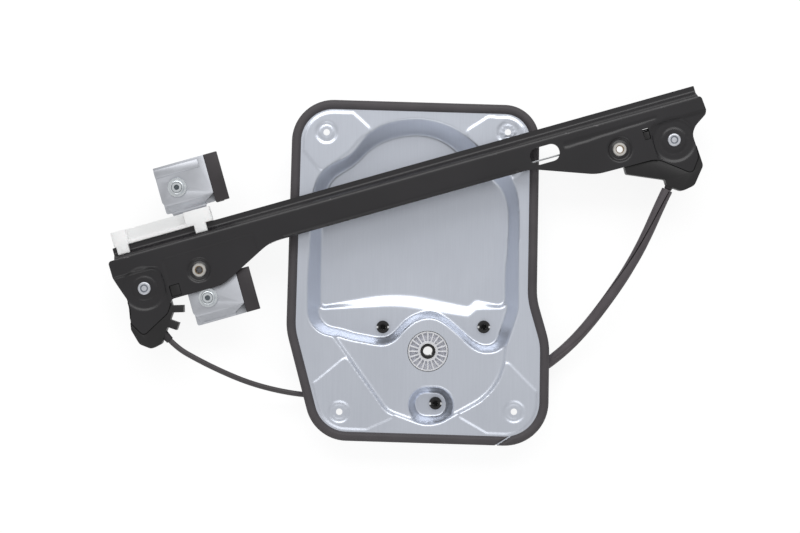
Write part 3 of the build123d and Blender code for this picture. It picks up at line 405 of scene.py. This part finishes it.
def eased(x, y, level):
    """The sheet's height where its walls bend smoothly, from the level of the plain pressing."""
    for top, foot, high_level, low_level, reach, (left, right, start, end) in sheet_walls:
        from_top, from_foot = top.side(x, y), foot.side(x, y)
        here = 1 - share((min(abs(from_top), abs(from_foot)) - reach) / edge_blend)
        here *= share((x - left) / left_blend) * share((right - x) / right_blend)
        here *= share((y - start) / (end - start))
        if here == 0.0:
            continue
        if from_top > 0:
            kept = level > pad_level or x < arch_left
            wanted = max(level, high_level) if kept else high_level
        elif from_foot < 0:
            wanted = min(level, low_level)
        else:
            wanted = high_level + (low_level - high_level) * -from_top / (from_foot - from_top)
        level += (wanted - level) * here
    return level


def shade_smooth(shape):
    for face in shape.faces:
        face.smooth = True


class Cast:
    """A grid laid over a plain solid, fitted to its rims and holes."""

    clearance = 0.01
    hair = 0.00001
    rim_step = 0.0003
    rim_inset = 0.0006
    # the share of the pitch within which a vertex is drawn to a rim, the cells past the solid's
    # ends, and how level a face has to lie to count as flat
    snap = 0.53
    spare_cells = 4
    upright = 0.99999

    def __init__(self, node, pitch, turn=0.0):
        source = nodes[node]
        self.solid = BVHTree.FromObject(source, bpy.context.evaluated_depsgraph_get())
        self.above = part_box(node)[1][2] + self.clearance
        rims = []
        for edge in source.data.edges:
            first, last = (source.data.vertices[i].co for i in edge.vertices)
            if abs(first.z - last.z) > self.hair:
                continue
            side = (last - first).cross(Vector((0, 0, 1))).normalized() * (2 * self.hair)
            between = (first + last) / 2
            one, other = (self.strike(*place.xy) for place in (between + side, between - side))
            if (one is None) != (other is None):
                steps = ceil((last - first).length / self.rim_step)
                rims += [first.lerp(last, step / steps) for step in range(steps + 1)]
        self.rims = KDTree(len(rims))
        for index, point in enumerate(rims):
            self.rims.insert((point.x, point.y, 0.0), index)
        self.rims.balance()

        self.grid = bmesh.new()
        turned = Matrix.Rotation(turn, 3, "Z")
        spread = [turned.transposed() @ vertex.co for vertex in source.data.vertices]
        low = [min(point[axis] for point in spread) for axis in (0, 1)]
        high = [max(point[axis] for point in spread) for axis in (0, 1)]
        columns = ceil((high[0] - low[0]) / pitch) + self.spare_cells
        rows = ceil((high[1] - low[1]) / pitch) + self.spare_cells
        bmesh.ops.create_grid(self.grid, x_segments=columns, y_segments=rows, size=0.5)
        bmesh.ops.scale(self.grid, vec=(columns * pitch, rows * pitch, 1), verts=self.grid.verts)
        bmesh.ops.translate(
            self.grid,
            vec=((low[0] + high[0]) / 2, (low[1] + high[1]) / 2, 0),
            verts=self.grid.verts,
        )
        bmesh.ops.rotate(self.grid, matrix=turned, verts=self.grid.verts)
        self.on_rim = set()
        for vertex in self.grid.verts:
            place, gap = self.to_rim(vertex)
            if gap < self.snap * pitch:
                vertex.co = place
                self.on_rim.add(vertex)
        for face in self.grid.faces[:]:
            ends = [corner for corner in face.verts if corner in self.on_rim]
            if len(ends) == 2 and not any(ends[1] in edge.verts for edge in ends[0].link_edges):
                bmesh.utils.face_split(face, ends[0], ends[1])
        bmesh.ops.delete(
            self.grid,
            geom=[
                face for face in self.grid.faces
                if self.strike(*face.calc_center_median().xy) is None
            ],
            context="FACES",
        )

    def strike(self, x, y):
        """Where a line straight down at this place meets the solid."""
        return self.solid.ray_cast(Vector((x, y, self.above)), Vector((0, 0, -1)))[0]

    def to_rim(self, vertex):
        """The nearest place on a rim, and how far off it is."""
        place, _, gap = self.rims.find((vertex.co.x, vertex.co.y, 0.0))
        return place, gap

    def level(self, vertex):
        """The solid's height at a vertex, taken just inside the rim where it lies on one."""
        x, y, _ = vertex.co
        spots = [(x, y)]
        if vertex in self.on_rim:
            step = self.rim_inset
            spots = [(x + step, y), (x - step, y), (x, y + step), (x, y - step)]
        hits = [hit.z for hit in (self.strike(*spot) for spot in spots) if hit]
        if hits:
            return max(hits)
        return self.solid.find_nearest(Vector((x, y, self.above)))[0].z

    def soften(self, rounds):
        """Ease the grid's bends, and keep a crisp line at its rims."""
        for eased_places in rounds:
            bmesh.ops.smooth_vert(
                self.grid,
                verts=eased_places,
                factor=0.5,
                use_axis_x=False,
                use_axis_y=False,
                use_axis_z=True,
            )
        shade_smooth(self.grid)
        for edge in self.grid.edges:
            edge.smooth = not edge.is_boundary

    def thin_out(self):
        """Leave out the lines that the grid's flat places don't need."""
        self.grid.normal_update()
        flat = {
            vertex for vertex in self.grid.verts
            if all(face.normal.z > self.upright for face in vertex.link_faces)
        }
        calm = {
            vertex for vertex in flat
            if all(edge.other_vert(vertex) in flat for edge in vertex.link_edges)
        }
        bmesh.ops.dissolve_limit(
            self.grid,
            angle_limit=radians(0.2),
            use_dissolve_boundaries=False,
            verts=[vertex for vertex in self.grid.verts if vertex in calm],
            edges=[edge for edge in self.grid.edges if calm.issuperset(edge.verts)],
        )


def give_gauge(piece, gauge):
    """The thickness of the sheet, below its modelled upper side."""
    sheet = piece.modifiers.new("gauge", "SOLIDIFY")
    sheet.thickness = gauge
    sheet.offset = -1.0


panel_gauge = 0.001
below_flange = 0.0232
pressing = Cast("mounting_panel", pitch=0.001)
skin = pressing.grid
for vertex in skin.verts:
    vertex.co.z = eased(vertex.co.x, vertex.co.y, pressing.level(vertex))
walls = [vertex for vertex in skin.verts if vertex.co.z < below_flange]
pressing.soften((skin.verts, walls, walls))
pressing.thin_out()
put_in_order(skin)
skin_mesh = into_mesh("mounting_panel_sheet", skin)

panel_sheet = Finish("galvanised_sheet")
place = panel_sheet.place()
cloud = panel_sheet.noise(place, scale=12.0, detail=3.0)
along_roll = panel_sheet.place(stretch=(26.0, 1.0, 1.0))
rolled = panel_sheet.noise(along_roll, scale=30.0, detail=3.0, roughness=0.6)
slanted = panel_sheet.place(turn=1.1, stretch=(1.0, 60.0, 1.0))
scratch = panel_sheet.ramp(
    panel_sheet.noise(slanted, scale=22.0, detail=2.0), (0.68, 0.0), (0.72, 1.0)
)
level = cloud * 0.6 + rolled * 0.4
galvanised = panel_sheet.surface(
    {
        "Base Color": panel_sheet.tint(level, colour(204, 209, 220), colour(228, 233, 243)),
        "Metallic": 0.85,
        "Roughness": 0.3 + level * 0.12 - scratch * 0.06,
    },
    height=rolled * 0.6 + scratch * 0.5,
    depth=0.00004,
    fade=0.4,
)
panel = add_piece(
    "mounting_panel_sheet", skin_mesh, galvanised, "base", "mounting_panel"
)
give_gauge(panel, panel_gauge)


# Panel seal: a strip of closed-cell foam stuck round the rim, its two ends butted at the foot.
# Its edges are softly rounded, and the skin shows fine closed cells.
foam = Finish("foam_seal")
place = foam.place()
cells = foam.node("ShaderNodeTexVoronoi", {"feature": "F1"}, {"Vector": place, "Scale": 1500.0})
patch = foam.noise(place, scale=45.0, detail=4.0)
foam_seal = foam.surface(
    {
        "Base Color": foam.tint(patch, colour(58, 55, 58), colour(80, 76, 79)),
        "Roughness": 0.5 + patch * 0.16,
    },
    height=cells + patch * 0.8,
    depth=0.0002,
    fade=0.5,
)
strip_cast = Cast("panel_seal", pitch=0.0009)
foam_low, foam_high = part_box("panel_seal")
rounding_width = 0.0034
rounding_depth = 0.0026
for vertex in strip_cast.grid.verts:
    slope = 1 - share(strip_cast.to_rim(vertex)[1] / rounding_width)
    vertex.co.z = foam_high[2] - rounding_depth * slope * slope
strip = strip_cast.grid
butt = Vector((0.0846, -0.1599, 0.0))
across_butt = Vector((-0.532, 0.847, 0.0))
half_gap = 0.0005
beside_butt = 0.012


def near_butt(face):
    return (face.calc_center_median().xy - butt.xy).length < beside_butt


for offset in (-half_gap, half_gap):
    near = [face for face in strip.faces if near_butt(face)]
    bmesh.ops.bisect_plane(
        strip,
        geom=near
        + list({edge for face in near for edge in face.edges})
        + list({vertex for face in near for vertex in face.verts}),
        plane_co=butt + across_butt * offset,
        plane_no=across_butt,
    )
bmesh.ops.delete(
    strip,
    geom=[
        face for face in strip.faces
        if near_butt(face)
        and abs((face.calc_center_median() - butt).dot(across_butt)) < half_gap
    ],
    context="FACES",
)
grown = bmesh.ops.extrude_face_region(strip, geom=strip.faces[:])["geom"]
for item in grown:
    if isinstance(item, bmesh.types.BMVert):
        item.co.z = foam_low[2]
bmesh.ops.recalc_face_normals(strip, faces=strip.faces)
shade_smooth(strip)
put_in_order(strip)
strip_mesh = into_mesh("panel_seal_strip", strip)
strip_mesh.set_sharp_from_angle(angle=radians(50))
add_piece("panel_seal_strip", strip_mesh, foam_seal, "base", "panel_seal")


# Drum housing: one glass-filled nylon moulding behind the panel,
# with the hub post and three screw bosses.
# Its bosses are blind, so they look black from the front.
def coat(node, material):
    for place in nodes[node].material_slots:
        place.material = material


black_plastic = moulded("black_plastic", colour(15, 14, 15), colour(26, 24, 26), roughness=0.5)
coat("drum_housing", black_plastic)
boss_centres = ((-0.0226, -0.05565), (0.0705, -0.05565), (0.0259, -0.126))
bottom_level = 0.0012
bottoms = bmesh.new()
for x, y in boss_centres:
    bmesh.ops.create_cone(
        bottoms,
        cap_ends=True,
        segments=32,
        radius1=0.00248,
        radius2=0.00236,
        depth=0.0012,
        matrix=Matrix.Translation((x, y, bottom_level)),
    )
bottoms_mesh = into_mesh("boss_bottoms", bottoms)
add_piece("boss_bottoms", bottoms_mesh, black_plastic, "base", None)


# Screw clips: spring steel nuts pressed into the bosses for the motor's screws.
# The barrel is blackened in hardening, and the two tabs on the boss's face are rubbed bright.
def distance_from(finish, centres):
    """Distance from the nearest of these upright axes."""
    flat = finish.node(
        "ShaderNodeVectorMath", {"operation": "MULTIPLY"}, {0: finish.place(), 1: (1.0, 1.0, 0.0)}
    )
    nearest = None
    for x, y in centres:
        gap = finish.node(
            "ShaderNodeVectorMath", {"operation": "DISTANCE"}, {0: flat, 1: (x, y, 0.0)}, 1
        )
        nearest = gap if nearest is None else nearest.sum("MINIMUM", nearest, gap)
    return nearest


barrel_radius = 0.0043
clip = Finish("clip_steel")
rubbed = distance_from(clip, boss_centres) > barrel_radius
speck = clip.noise(clip.place(), scale=700.0, detail=3.0)
clip_steel = clip.surface(
    {
        "Base Color": clip.tint(rubbed, colour(24, 23, 24), colour(232, 233, 235)),
        "Metallic": 0.3 + rubbed * 0.65,
        "Roughness": 0.3 + speck * 0.2,
    },
    height=speck,
    depth=0.00003,
)
coat("screw_clips", clip_steel)


# Cable drum: an acetal moulding with a ribbed ring that takes the motor's coupling.
# It turns on the housing's post, and three turns of cable lie in its grooves.
def plated(name, dark, light, roughness, scale=300.0):
    """Zinc-plated steel: bright, a little cloudy, with fine scuffs."""
    finish = Finish(name)
    place = finish.place()
    cloud = finish.noise(place, scale=scale, detail=3.0)
    slanted = finish.place(turn=0.6, stretch=(1.0, 14.0, 1.0))
    scuff = finish.noise(slanted, scale=scale * 3, detail=3.0, roughness=0.6)
    return finish.surface(
        {
            "Base Color": finish.tint(cloud, dark, light),
            "Metallic": 0.95,
            "Roughness": roughness - 0.06 + cloud * 0.08 + scuff * 0.06,
        },
        height=scuff,
        depth=0.00003,
        fade=0.5,
    )


acetal = Finish("grey_plastic")
place = acetal.place()
cloud = acetal.noise(place, scale=160.0, detail=3.0)
fine = acetal.noise(place, scale=2200.0, detail=2.0)
grey_plastic = acetal.surface(
    {
        "Base Color": acetal.tint(cloud, colour(212, 213, 219), colour(230, 231, 237)),
        "Roughness": 0.4 + cloud * 0.12,
        "Subsurface Weight": 0.9,
        "Subsurface Radius": (0.004, 0.004, 0.0042),
        "Subsurface Scale": 1.0,
    },
    height=fine,
    depth=0.00002,
)
coat("cable_drum", grey_plastic)
cable_steel = plated("cable_steel", colour(130, 132, 134), colour(196, 198, 200), roughness=0.34)
coat("drum_cable", cable_steel)
coat("rail_cable", cable_steel)


# Guide rail: rolled and pressed steel channel with an upper lip, dip-coated in satin black.
# Spots along the bend are painted bright, partly as rubbed-thin coat and partly as a painted
# highlight on the bend line, and the coat shows drawing marks along the rail.
rail_angle = radians(15.65)
rail_start = (-0.26566, 0.01417, 0.0)
rail_coat = Finish("black_coat")
along = rail_coat.node(
    "ShaderNodeMapping",
    {"vector_type": "TEXTURE"},
    {
        "Vector": rail_coat.node("ShaderNodeTexCoord", {}, {}, "Object"),
        "Location": rail_start,
        "Rotation": (0.0, 0.0, rail_angle),
    },
)
across = rail_coat.node("ShaderNodeSeparateXYZ", {}, {"Vector": along}, "Y")
place = rail_coat.place()
cloud = rail_coat.noise(place, scale=18.0, detail=3.0)
peel = rail_coat.noise(place, scale=520.0, detail=2.0)
drawing_lines = rail_coat.place(turn=-rail_angle, stretch=(1.0, 30.0, 1.0))
drawn = rail_coat.noise(drawing_lines, scale=24.0, detail=3.0)
along_bend = rail_coat.place(turn=-rail_angle, stretch=(0.35, 1.0, 1.0))
rubs = rail_coat.ramp(
    rail_coat.noise(along_bend, scale=420.0, detail=4.0, roughness=0.7), (0.62, 0.0), (0.70, 1.0)
)
# the bright spots on the bend between lip and web: partly rubbed coat, partly a painted highlight
# on that bend
bend_begins, bend_ends = -0.0074, -0.0098
bend = (across < bend_begins) * (across > bend_ends)
patches = rail_coat.ramp(
    rail_coat.noise(place, scale=30.0, detail=1.0), (0.45, 0.0), (0.6, 1.0)
)
wear_and_highlight = rubs * bend * patches
black_coat = rail_coat.surface(
    {
        "Base Color": rail_coat.tint(
            wear_and_highlight,
            rail_coat.tint(cloud, colour(17, 15, 18), colour(28, 26, 30)),
            colour(150, 148, 150),
        ),
        "Roughness": 0.3 + cloud * 0.12 + drawn * 0.06,
        "Metallic": wear_and_highlight * 0.8,
        "Coat Weight": 0.2,
        "Coat Roughness": 0.25,
    },
    height=peel * 0.5 + drawn * 0.5,
    depth=0.00008,
    fade=0.4,
)


def on_rail(along_rail, across_rail):
    """A place on the rail, turned and moved to where the rail lies."""
    return (
        rail_start[0] + along_rail * cos(rail_angle) - across_rail * sin(rail_angle),
        rail_start[1] + along_rail * sin(rail_angle) + across_rail * cos(rail_angle),
    )


rivet_centres = [on_rail(0.0189, -0.0403), on_rail(0.5135, -0.0403)]
bushing_centres = [on_rail(0.0708, -0.0377), on_rail(0.4641, -0.0353)]
# centres, where each pressed trough begins and ends, how wide its sides are and how deep it is
troughs = (
    (rivet_centres, 0.0102, 0.0200, 0.0016, 0.0011),
    (bushing_centres, 0.0068, 0.0108, 0.0012, 0.0011),
)


def pressed(x, y, level):
    """The rail's height with the troughs round its rivets and bushings."""
    for centres, begin, end, side, depth in troughs:
        for centre in centres:
            away = (Vector((x, y)) - Vector(centre)).length
            part = share((away - begin) / side) * share((end - away) / side)
            level -= depth * part * part * (3 - 2 * part)
    return level


rail_sheet = 0.0015
rail_cast = Cast("guide_rail", pitch=0.00105, turn=rail_angle)
rail_skin = rail_cast.grid
for vertex in rail_skin.verts:
    vertex.co.z = pressed(vertex.co.x, vertex.co.y, rail_cast.level(vertex))
rail_cast.soften((rail_skin.verts,))
below_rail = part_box("guide_rail")[0][2] - rail_cast.clearance
least_skirt = 0.0002
probe_reaches = (0.0003, 0.0006, 0.0009)
probe_ways = 8
edges = [edge for edge in rail_skin.edges if edge.is_boundary]
feet = {}
for vertex in {vertex for edge in edges for vertex in edge.verts}:
    x, y, z = vertex.co
    under = []
    for reach in probe_reaches:
        for step in range(probe_ways):
            way = step * 2 * pi / probe_ways
            start = Vector((x + reach * cos(way), y + reach * sin(way), below_rail))
            hit = rail_cast.solid.ray_cast(start, Vector((0, 0, 1)))[0]
            if hit is not None:
                under.append(hit.z)
    feet[tuple(vertex.co.xy)] = min(under, default=z - rail_sheet)
grown = bmesh.ops.extrude_edge_only(rail_skin, edges=edges)["geom"]
for item in grown:
    if isinstance(item, bmesh.types.BMVert):
        item.co.z = min(item.co.z - least_skirt, feet[tuple(item.co.xy)])
shade_smooth(rail_skin)
put_in_order(rail_skin)
rail_mesh = into_mesh("guide_rail_pressing", rail_skin)
rail = add_piece("guide_rail_pressing", rail_mesh, black_coat, "base", "guide_rail")
give_gauge(rail, rail_sheet)


# Rail bushings: turned steel bushes, threaded inside, that the door's screws go into.
# They are bare steel with a bright face, and tarnished brown in the bore.
bushing = Finish("bushing_steel")
bore_radius = 0.0038
bored = distance_from(bushing, bushing_centres) < bore_radius
tarnish = bushing.noise(bushing.place(), scale=260.0, detail=3.0)
bushing_steel = bushing.surface(
    {
        "Base Color": bushing.tint(
            bored,
            bushing.tint(tarnish, colour(196, 192, 186), colour(232, 230, 226)),
            bushing.tint(tarnish, colour(120, 98, 72), colour(190, 168, 138)),
        ),
        "Metallic": 0.9,
        "Roughness": 0.24 + tarnish * 0.14,
    },
    height=tarnish,
    depth=0.00003,
)
for name in ("lower_bushing", "upper_bushing"):
    coat(name, bushing_steel)


# Pulleys: white nylon wheels on zinc-plated rivets, one in each moulded housing at the rail's ends.
# The rivets are cold-headed, so a ring stands in each head; the bump presses it in and its darker
# colour is painted shade in the groove.
# A rubber boot closes each housing round its cable sheath.
def merged(node):
    """A copy of a plain solid with its loose triangles joined into faces."""
    shape = bmesh.new()
    shape.from_mesh(nodes[node].data)
    bmesh.ops.remove_doubles(shape, verts=shape.verts, dist=0.00001)
    bmesh.ops.dissolve_limit(
        shape,
        angle_limit=radians(0.5),
        use_dissolve_boundaries=False,
        verts=shape.verts,
        edges=shape.edges,
    )
    bmesh.ops.recalc_face_normals(shape, faces=shape.faces)
    shade_smooth(shape)
    return shape


def rounded(name, node, material, body, radius):
    """A piece in the plain solid's shape and place, with its edges rounded."""
    piece = add_piece(name, into_mesh(name, merged(node)), material, body, node)
    rounding = piece.modifiers.new("rounding", "BEVEL")
    rounding.width = radius
    rounding.segments = 2
    rounding.limit_method = "ANGLE"
    rounding.angle_limit = radians(30)
    rounding.harden_normals = True


natural_nylon = moulded(
    "natural_nylon", colour(206, 206, 202), colour(228, 228, 224), roughness=0.4
)
for name in ("lower_pulley", "upper_pulley"):
    coat(name, natural_nylon)
rivet = Finish("rivet_steel")
from_middle = distance_from(rivet, rivet_centres)
ring_inner, ring_outer = 0.0024, 0.0036
# the ring is a groove in the bump, and its darker colour is painted shade in that groove
ring_groove_and_shade = (from_middle > ring_inner) * (from_middle < ring_outer)
mottle = rivet.noise(rivet.place(), scale=420.0, detail=3.0)
rivet_steel = rivet.surface(
    {
        "Base Color": rivet.tint(
            ring_groove_and_shade,
            rivet.tint(mottle, colour(196, 200, 208), colour(238, 240, 246)),
            rivet.tint(mottle, colour(118, 124, 134), colour(160, 166, 176)),
        ),
        "Metallic": 0.9,
        "Roughness": 0.28 + mottle * 0.14,
    },
    height=mottle - ring_groove_and_shade * 2.0,
    depth=0.0001,
)
for name in ("lower_rivet", "upper_rivet"):
    coat(name, rivet_steel)
boot_rubber = moulded(
    "boot_rubber", colour(30, 28, 30), colour(46, 43, 46), roughness=0.6, grain=0.00004
)
for end in ("lower", "upper"):
    rounded(
        end + "_pulley_case",
        end + "_pulley_housing",
        black_plastic,
        "base",
        radius=0.0005,
    )
    rounded(end + "_cable_boot", end + "_boot", boot_rubber, "base", radius=0.0005)


# Slider: a white nylon moulding that hooks over the rail's lip and carries the cable nipples.
# Nylon lets some light through, so it glows against the dark rail.
nylon = Finish("white_nylon")
place = nylon.place()
cloud = nylon.noise(place, scale=90.0, detail=3.0)
fine = nylon.noise(place, scale=1800.0, detail=2.0)
white_nylon = nylon.surface(
    {
        "Base Color": nylon.tint(cloud, colour(248, 247, 247), colour(254, 254, 254)),
        "Roughness": 0.3 + cloud * 0.12,
        "Subsurface Weight": 0.6,
        "Subsurface Radius": (0.008, 0.0075, 0.0075),
        "Subsurface Scale": 1.0,
    },
    height=fine,
    depth=0.00003,
)
rounded("slider_shoe", "slider", white_nylon, "carriage", radius=0.0004)
bright_steel = plated("bright_steel", colour(176, 178, 180), colour(226, 228, 230), roughness=0.3)
coat("cable_nipples", bright_steel)


# Carrier and glass clamps: zinc-plated pressings, with rubber pads that hold the glass.
# Two flanged screws close the clamps on it, into nuts behind the carrier.
zinc_plate = plated(
    "zinc_plate", colour(184, 186, 192), colour(208, 211, 217), roughness=0.5, scale=60.0
)
for name in ("carrier_plate", "upper_clamp_plate", "lower_clamp_plate"):
    rounded(name + "_pressing", name, zinc_plate, "carriage", radius=0.0003)
clamp_rubber = moulded(
    "clamp_rubber", colour(40, 36, 38), colour(58, 54, 57), roughness=0.5, grain=0.00004
)
for name in ("upper_clamp_pad", "lower_clamp_pad"):
    rounded(name + "_liner", name, clamp_rubber, "carriage", radius=0.0005)
recess_radius = 0.0024
seam_inner, seam_outer = 0.0044, 0.0049
screw = Finish("screw_steel")
from_middle = distance_from(screw, [on_rail(0.0717, 0.0391), on_rail(0.0717, -0.0639)])
# the middle of each screw head and a thin ring round it are painted dark, as painted shade in the
# head's recess and in the seam round it; the nuts share this material
recess_shade = from_middle < recess_radius
seam_shade = (from_middle > seam_inner) * (from_middle < seam_outer)
mottle = screw.noise(screw.place(), scale=420.0, detail=3.0)
screw_steel = screw.surface(
    {
        "Base Color": screw.tint(
            recess_shade.sum("MAXIMUM", recess_shade, seam_shade),
            screw.tint(mottle, colour(206, 212, 218), colour(246, 250, 252)),
            screw.tint(mottle, colour(74, 82, 88), colour(132, 140, 146)),
        ),
        "Metallic": 0.9,
        "Roughness": 0.2 + mottle * 0.16,
    },
    height=mottle,
    depth=0.00004,
)
for name in ("clamp_screws", "clamp_nuts"):
    coat(name, screw_steel)


# Studio: a plain white floor under the part, with a broad soft lamp beyond its top edge
# and a weak one before it.
# The floor is white to the camera and in reflections, and still takes the part's shadow.
floor_finish = Finish("studio_floor")
to_camera, in_gloss, through_glass = (
    floor_finish.node("ShaderNodeLightPath", {}, {}, name)
    for name in ("Is Camera Ray", "Is Glossy Ray", "Is Transmission Ray")
)
seen = floor_finish.node(
    "ShaderNodeMath",
    {"operation": "ADD", "use_clamp": True},
    {0: to_camera + in_gloss, 1: through_glass},
)
white = (1.0, 1.0, 1.0, 1.0)
glow_strength = 0.85
glow = floor_finish.node(
    "ShaderNodeEmission", {}, {"Color": white, "Strength": seen * glow_strength}
)
paint = floor_finish.node("ShaderNodeBsdfDiffuse", {}, {"Color": (0.2, 0.2, 0.2, 1.0)})
both = floor_finish.node("ShaderNodeAddShader", {}, {0: glow, 1: paint})
floor_finish.node("ShaderNodeOutputMaterial", {}, {"Surface": both})
floor_drop = 0.0005
sweep = bmesh.new()
bmesh.ops.create_grid(sweep, x_segments=1, y_segments=1, size=3.0)
floor_mesh = into_mesh("studio_floor", sweep)
floor_mesh.transform(Matrix.Translation((0, 0, -floor_drop)))
floor_mesh.materials.append(floor_finish.material)
floor = bpy.data.objects.new("studio_floor", floor_mesh)
bpy.context.scene.collection.objects.link(floor)

world = bpy.data.worlds.new("studio")
world.use_nodes = True
sky = world.node_tree.nodes["Background"]
sky.inputs["Color"].default_value = white
sky.inputs["Strength"].default_value = 0.56
bpy.context.scene.world = world
for name, place, width, height, power in (
    ("key_lamp", (0.0, 1.12, 1.12), 2.2, 0.8, 14.0),
    ("foot_lamp", (-0.3, -1.2, 1.1), 1.2, 0.6, 3.0),
):
    lamp = bpy.data.objects.new(name, bpy.data.lights.new(name, "AREA"))
    lamp.data.shape = "RECTANGLE"
    lamp.data.size = width
    lamp.data.size_y = height
    lamp.data.energy = power
    lamp.location = place
    lamp.rotation_euler = (-Vector(place)).to_track_quat("-Z", "Y").to_euler()
    bpy.context.scene.collection.objects.link(lamp)
bpy.context.scene.view_settings.view_transform = "Standard"
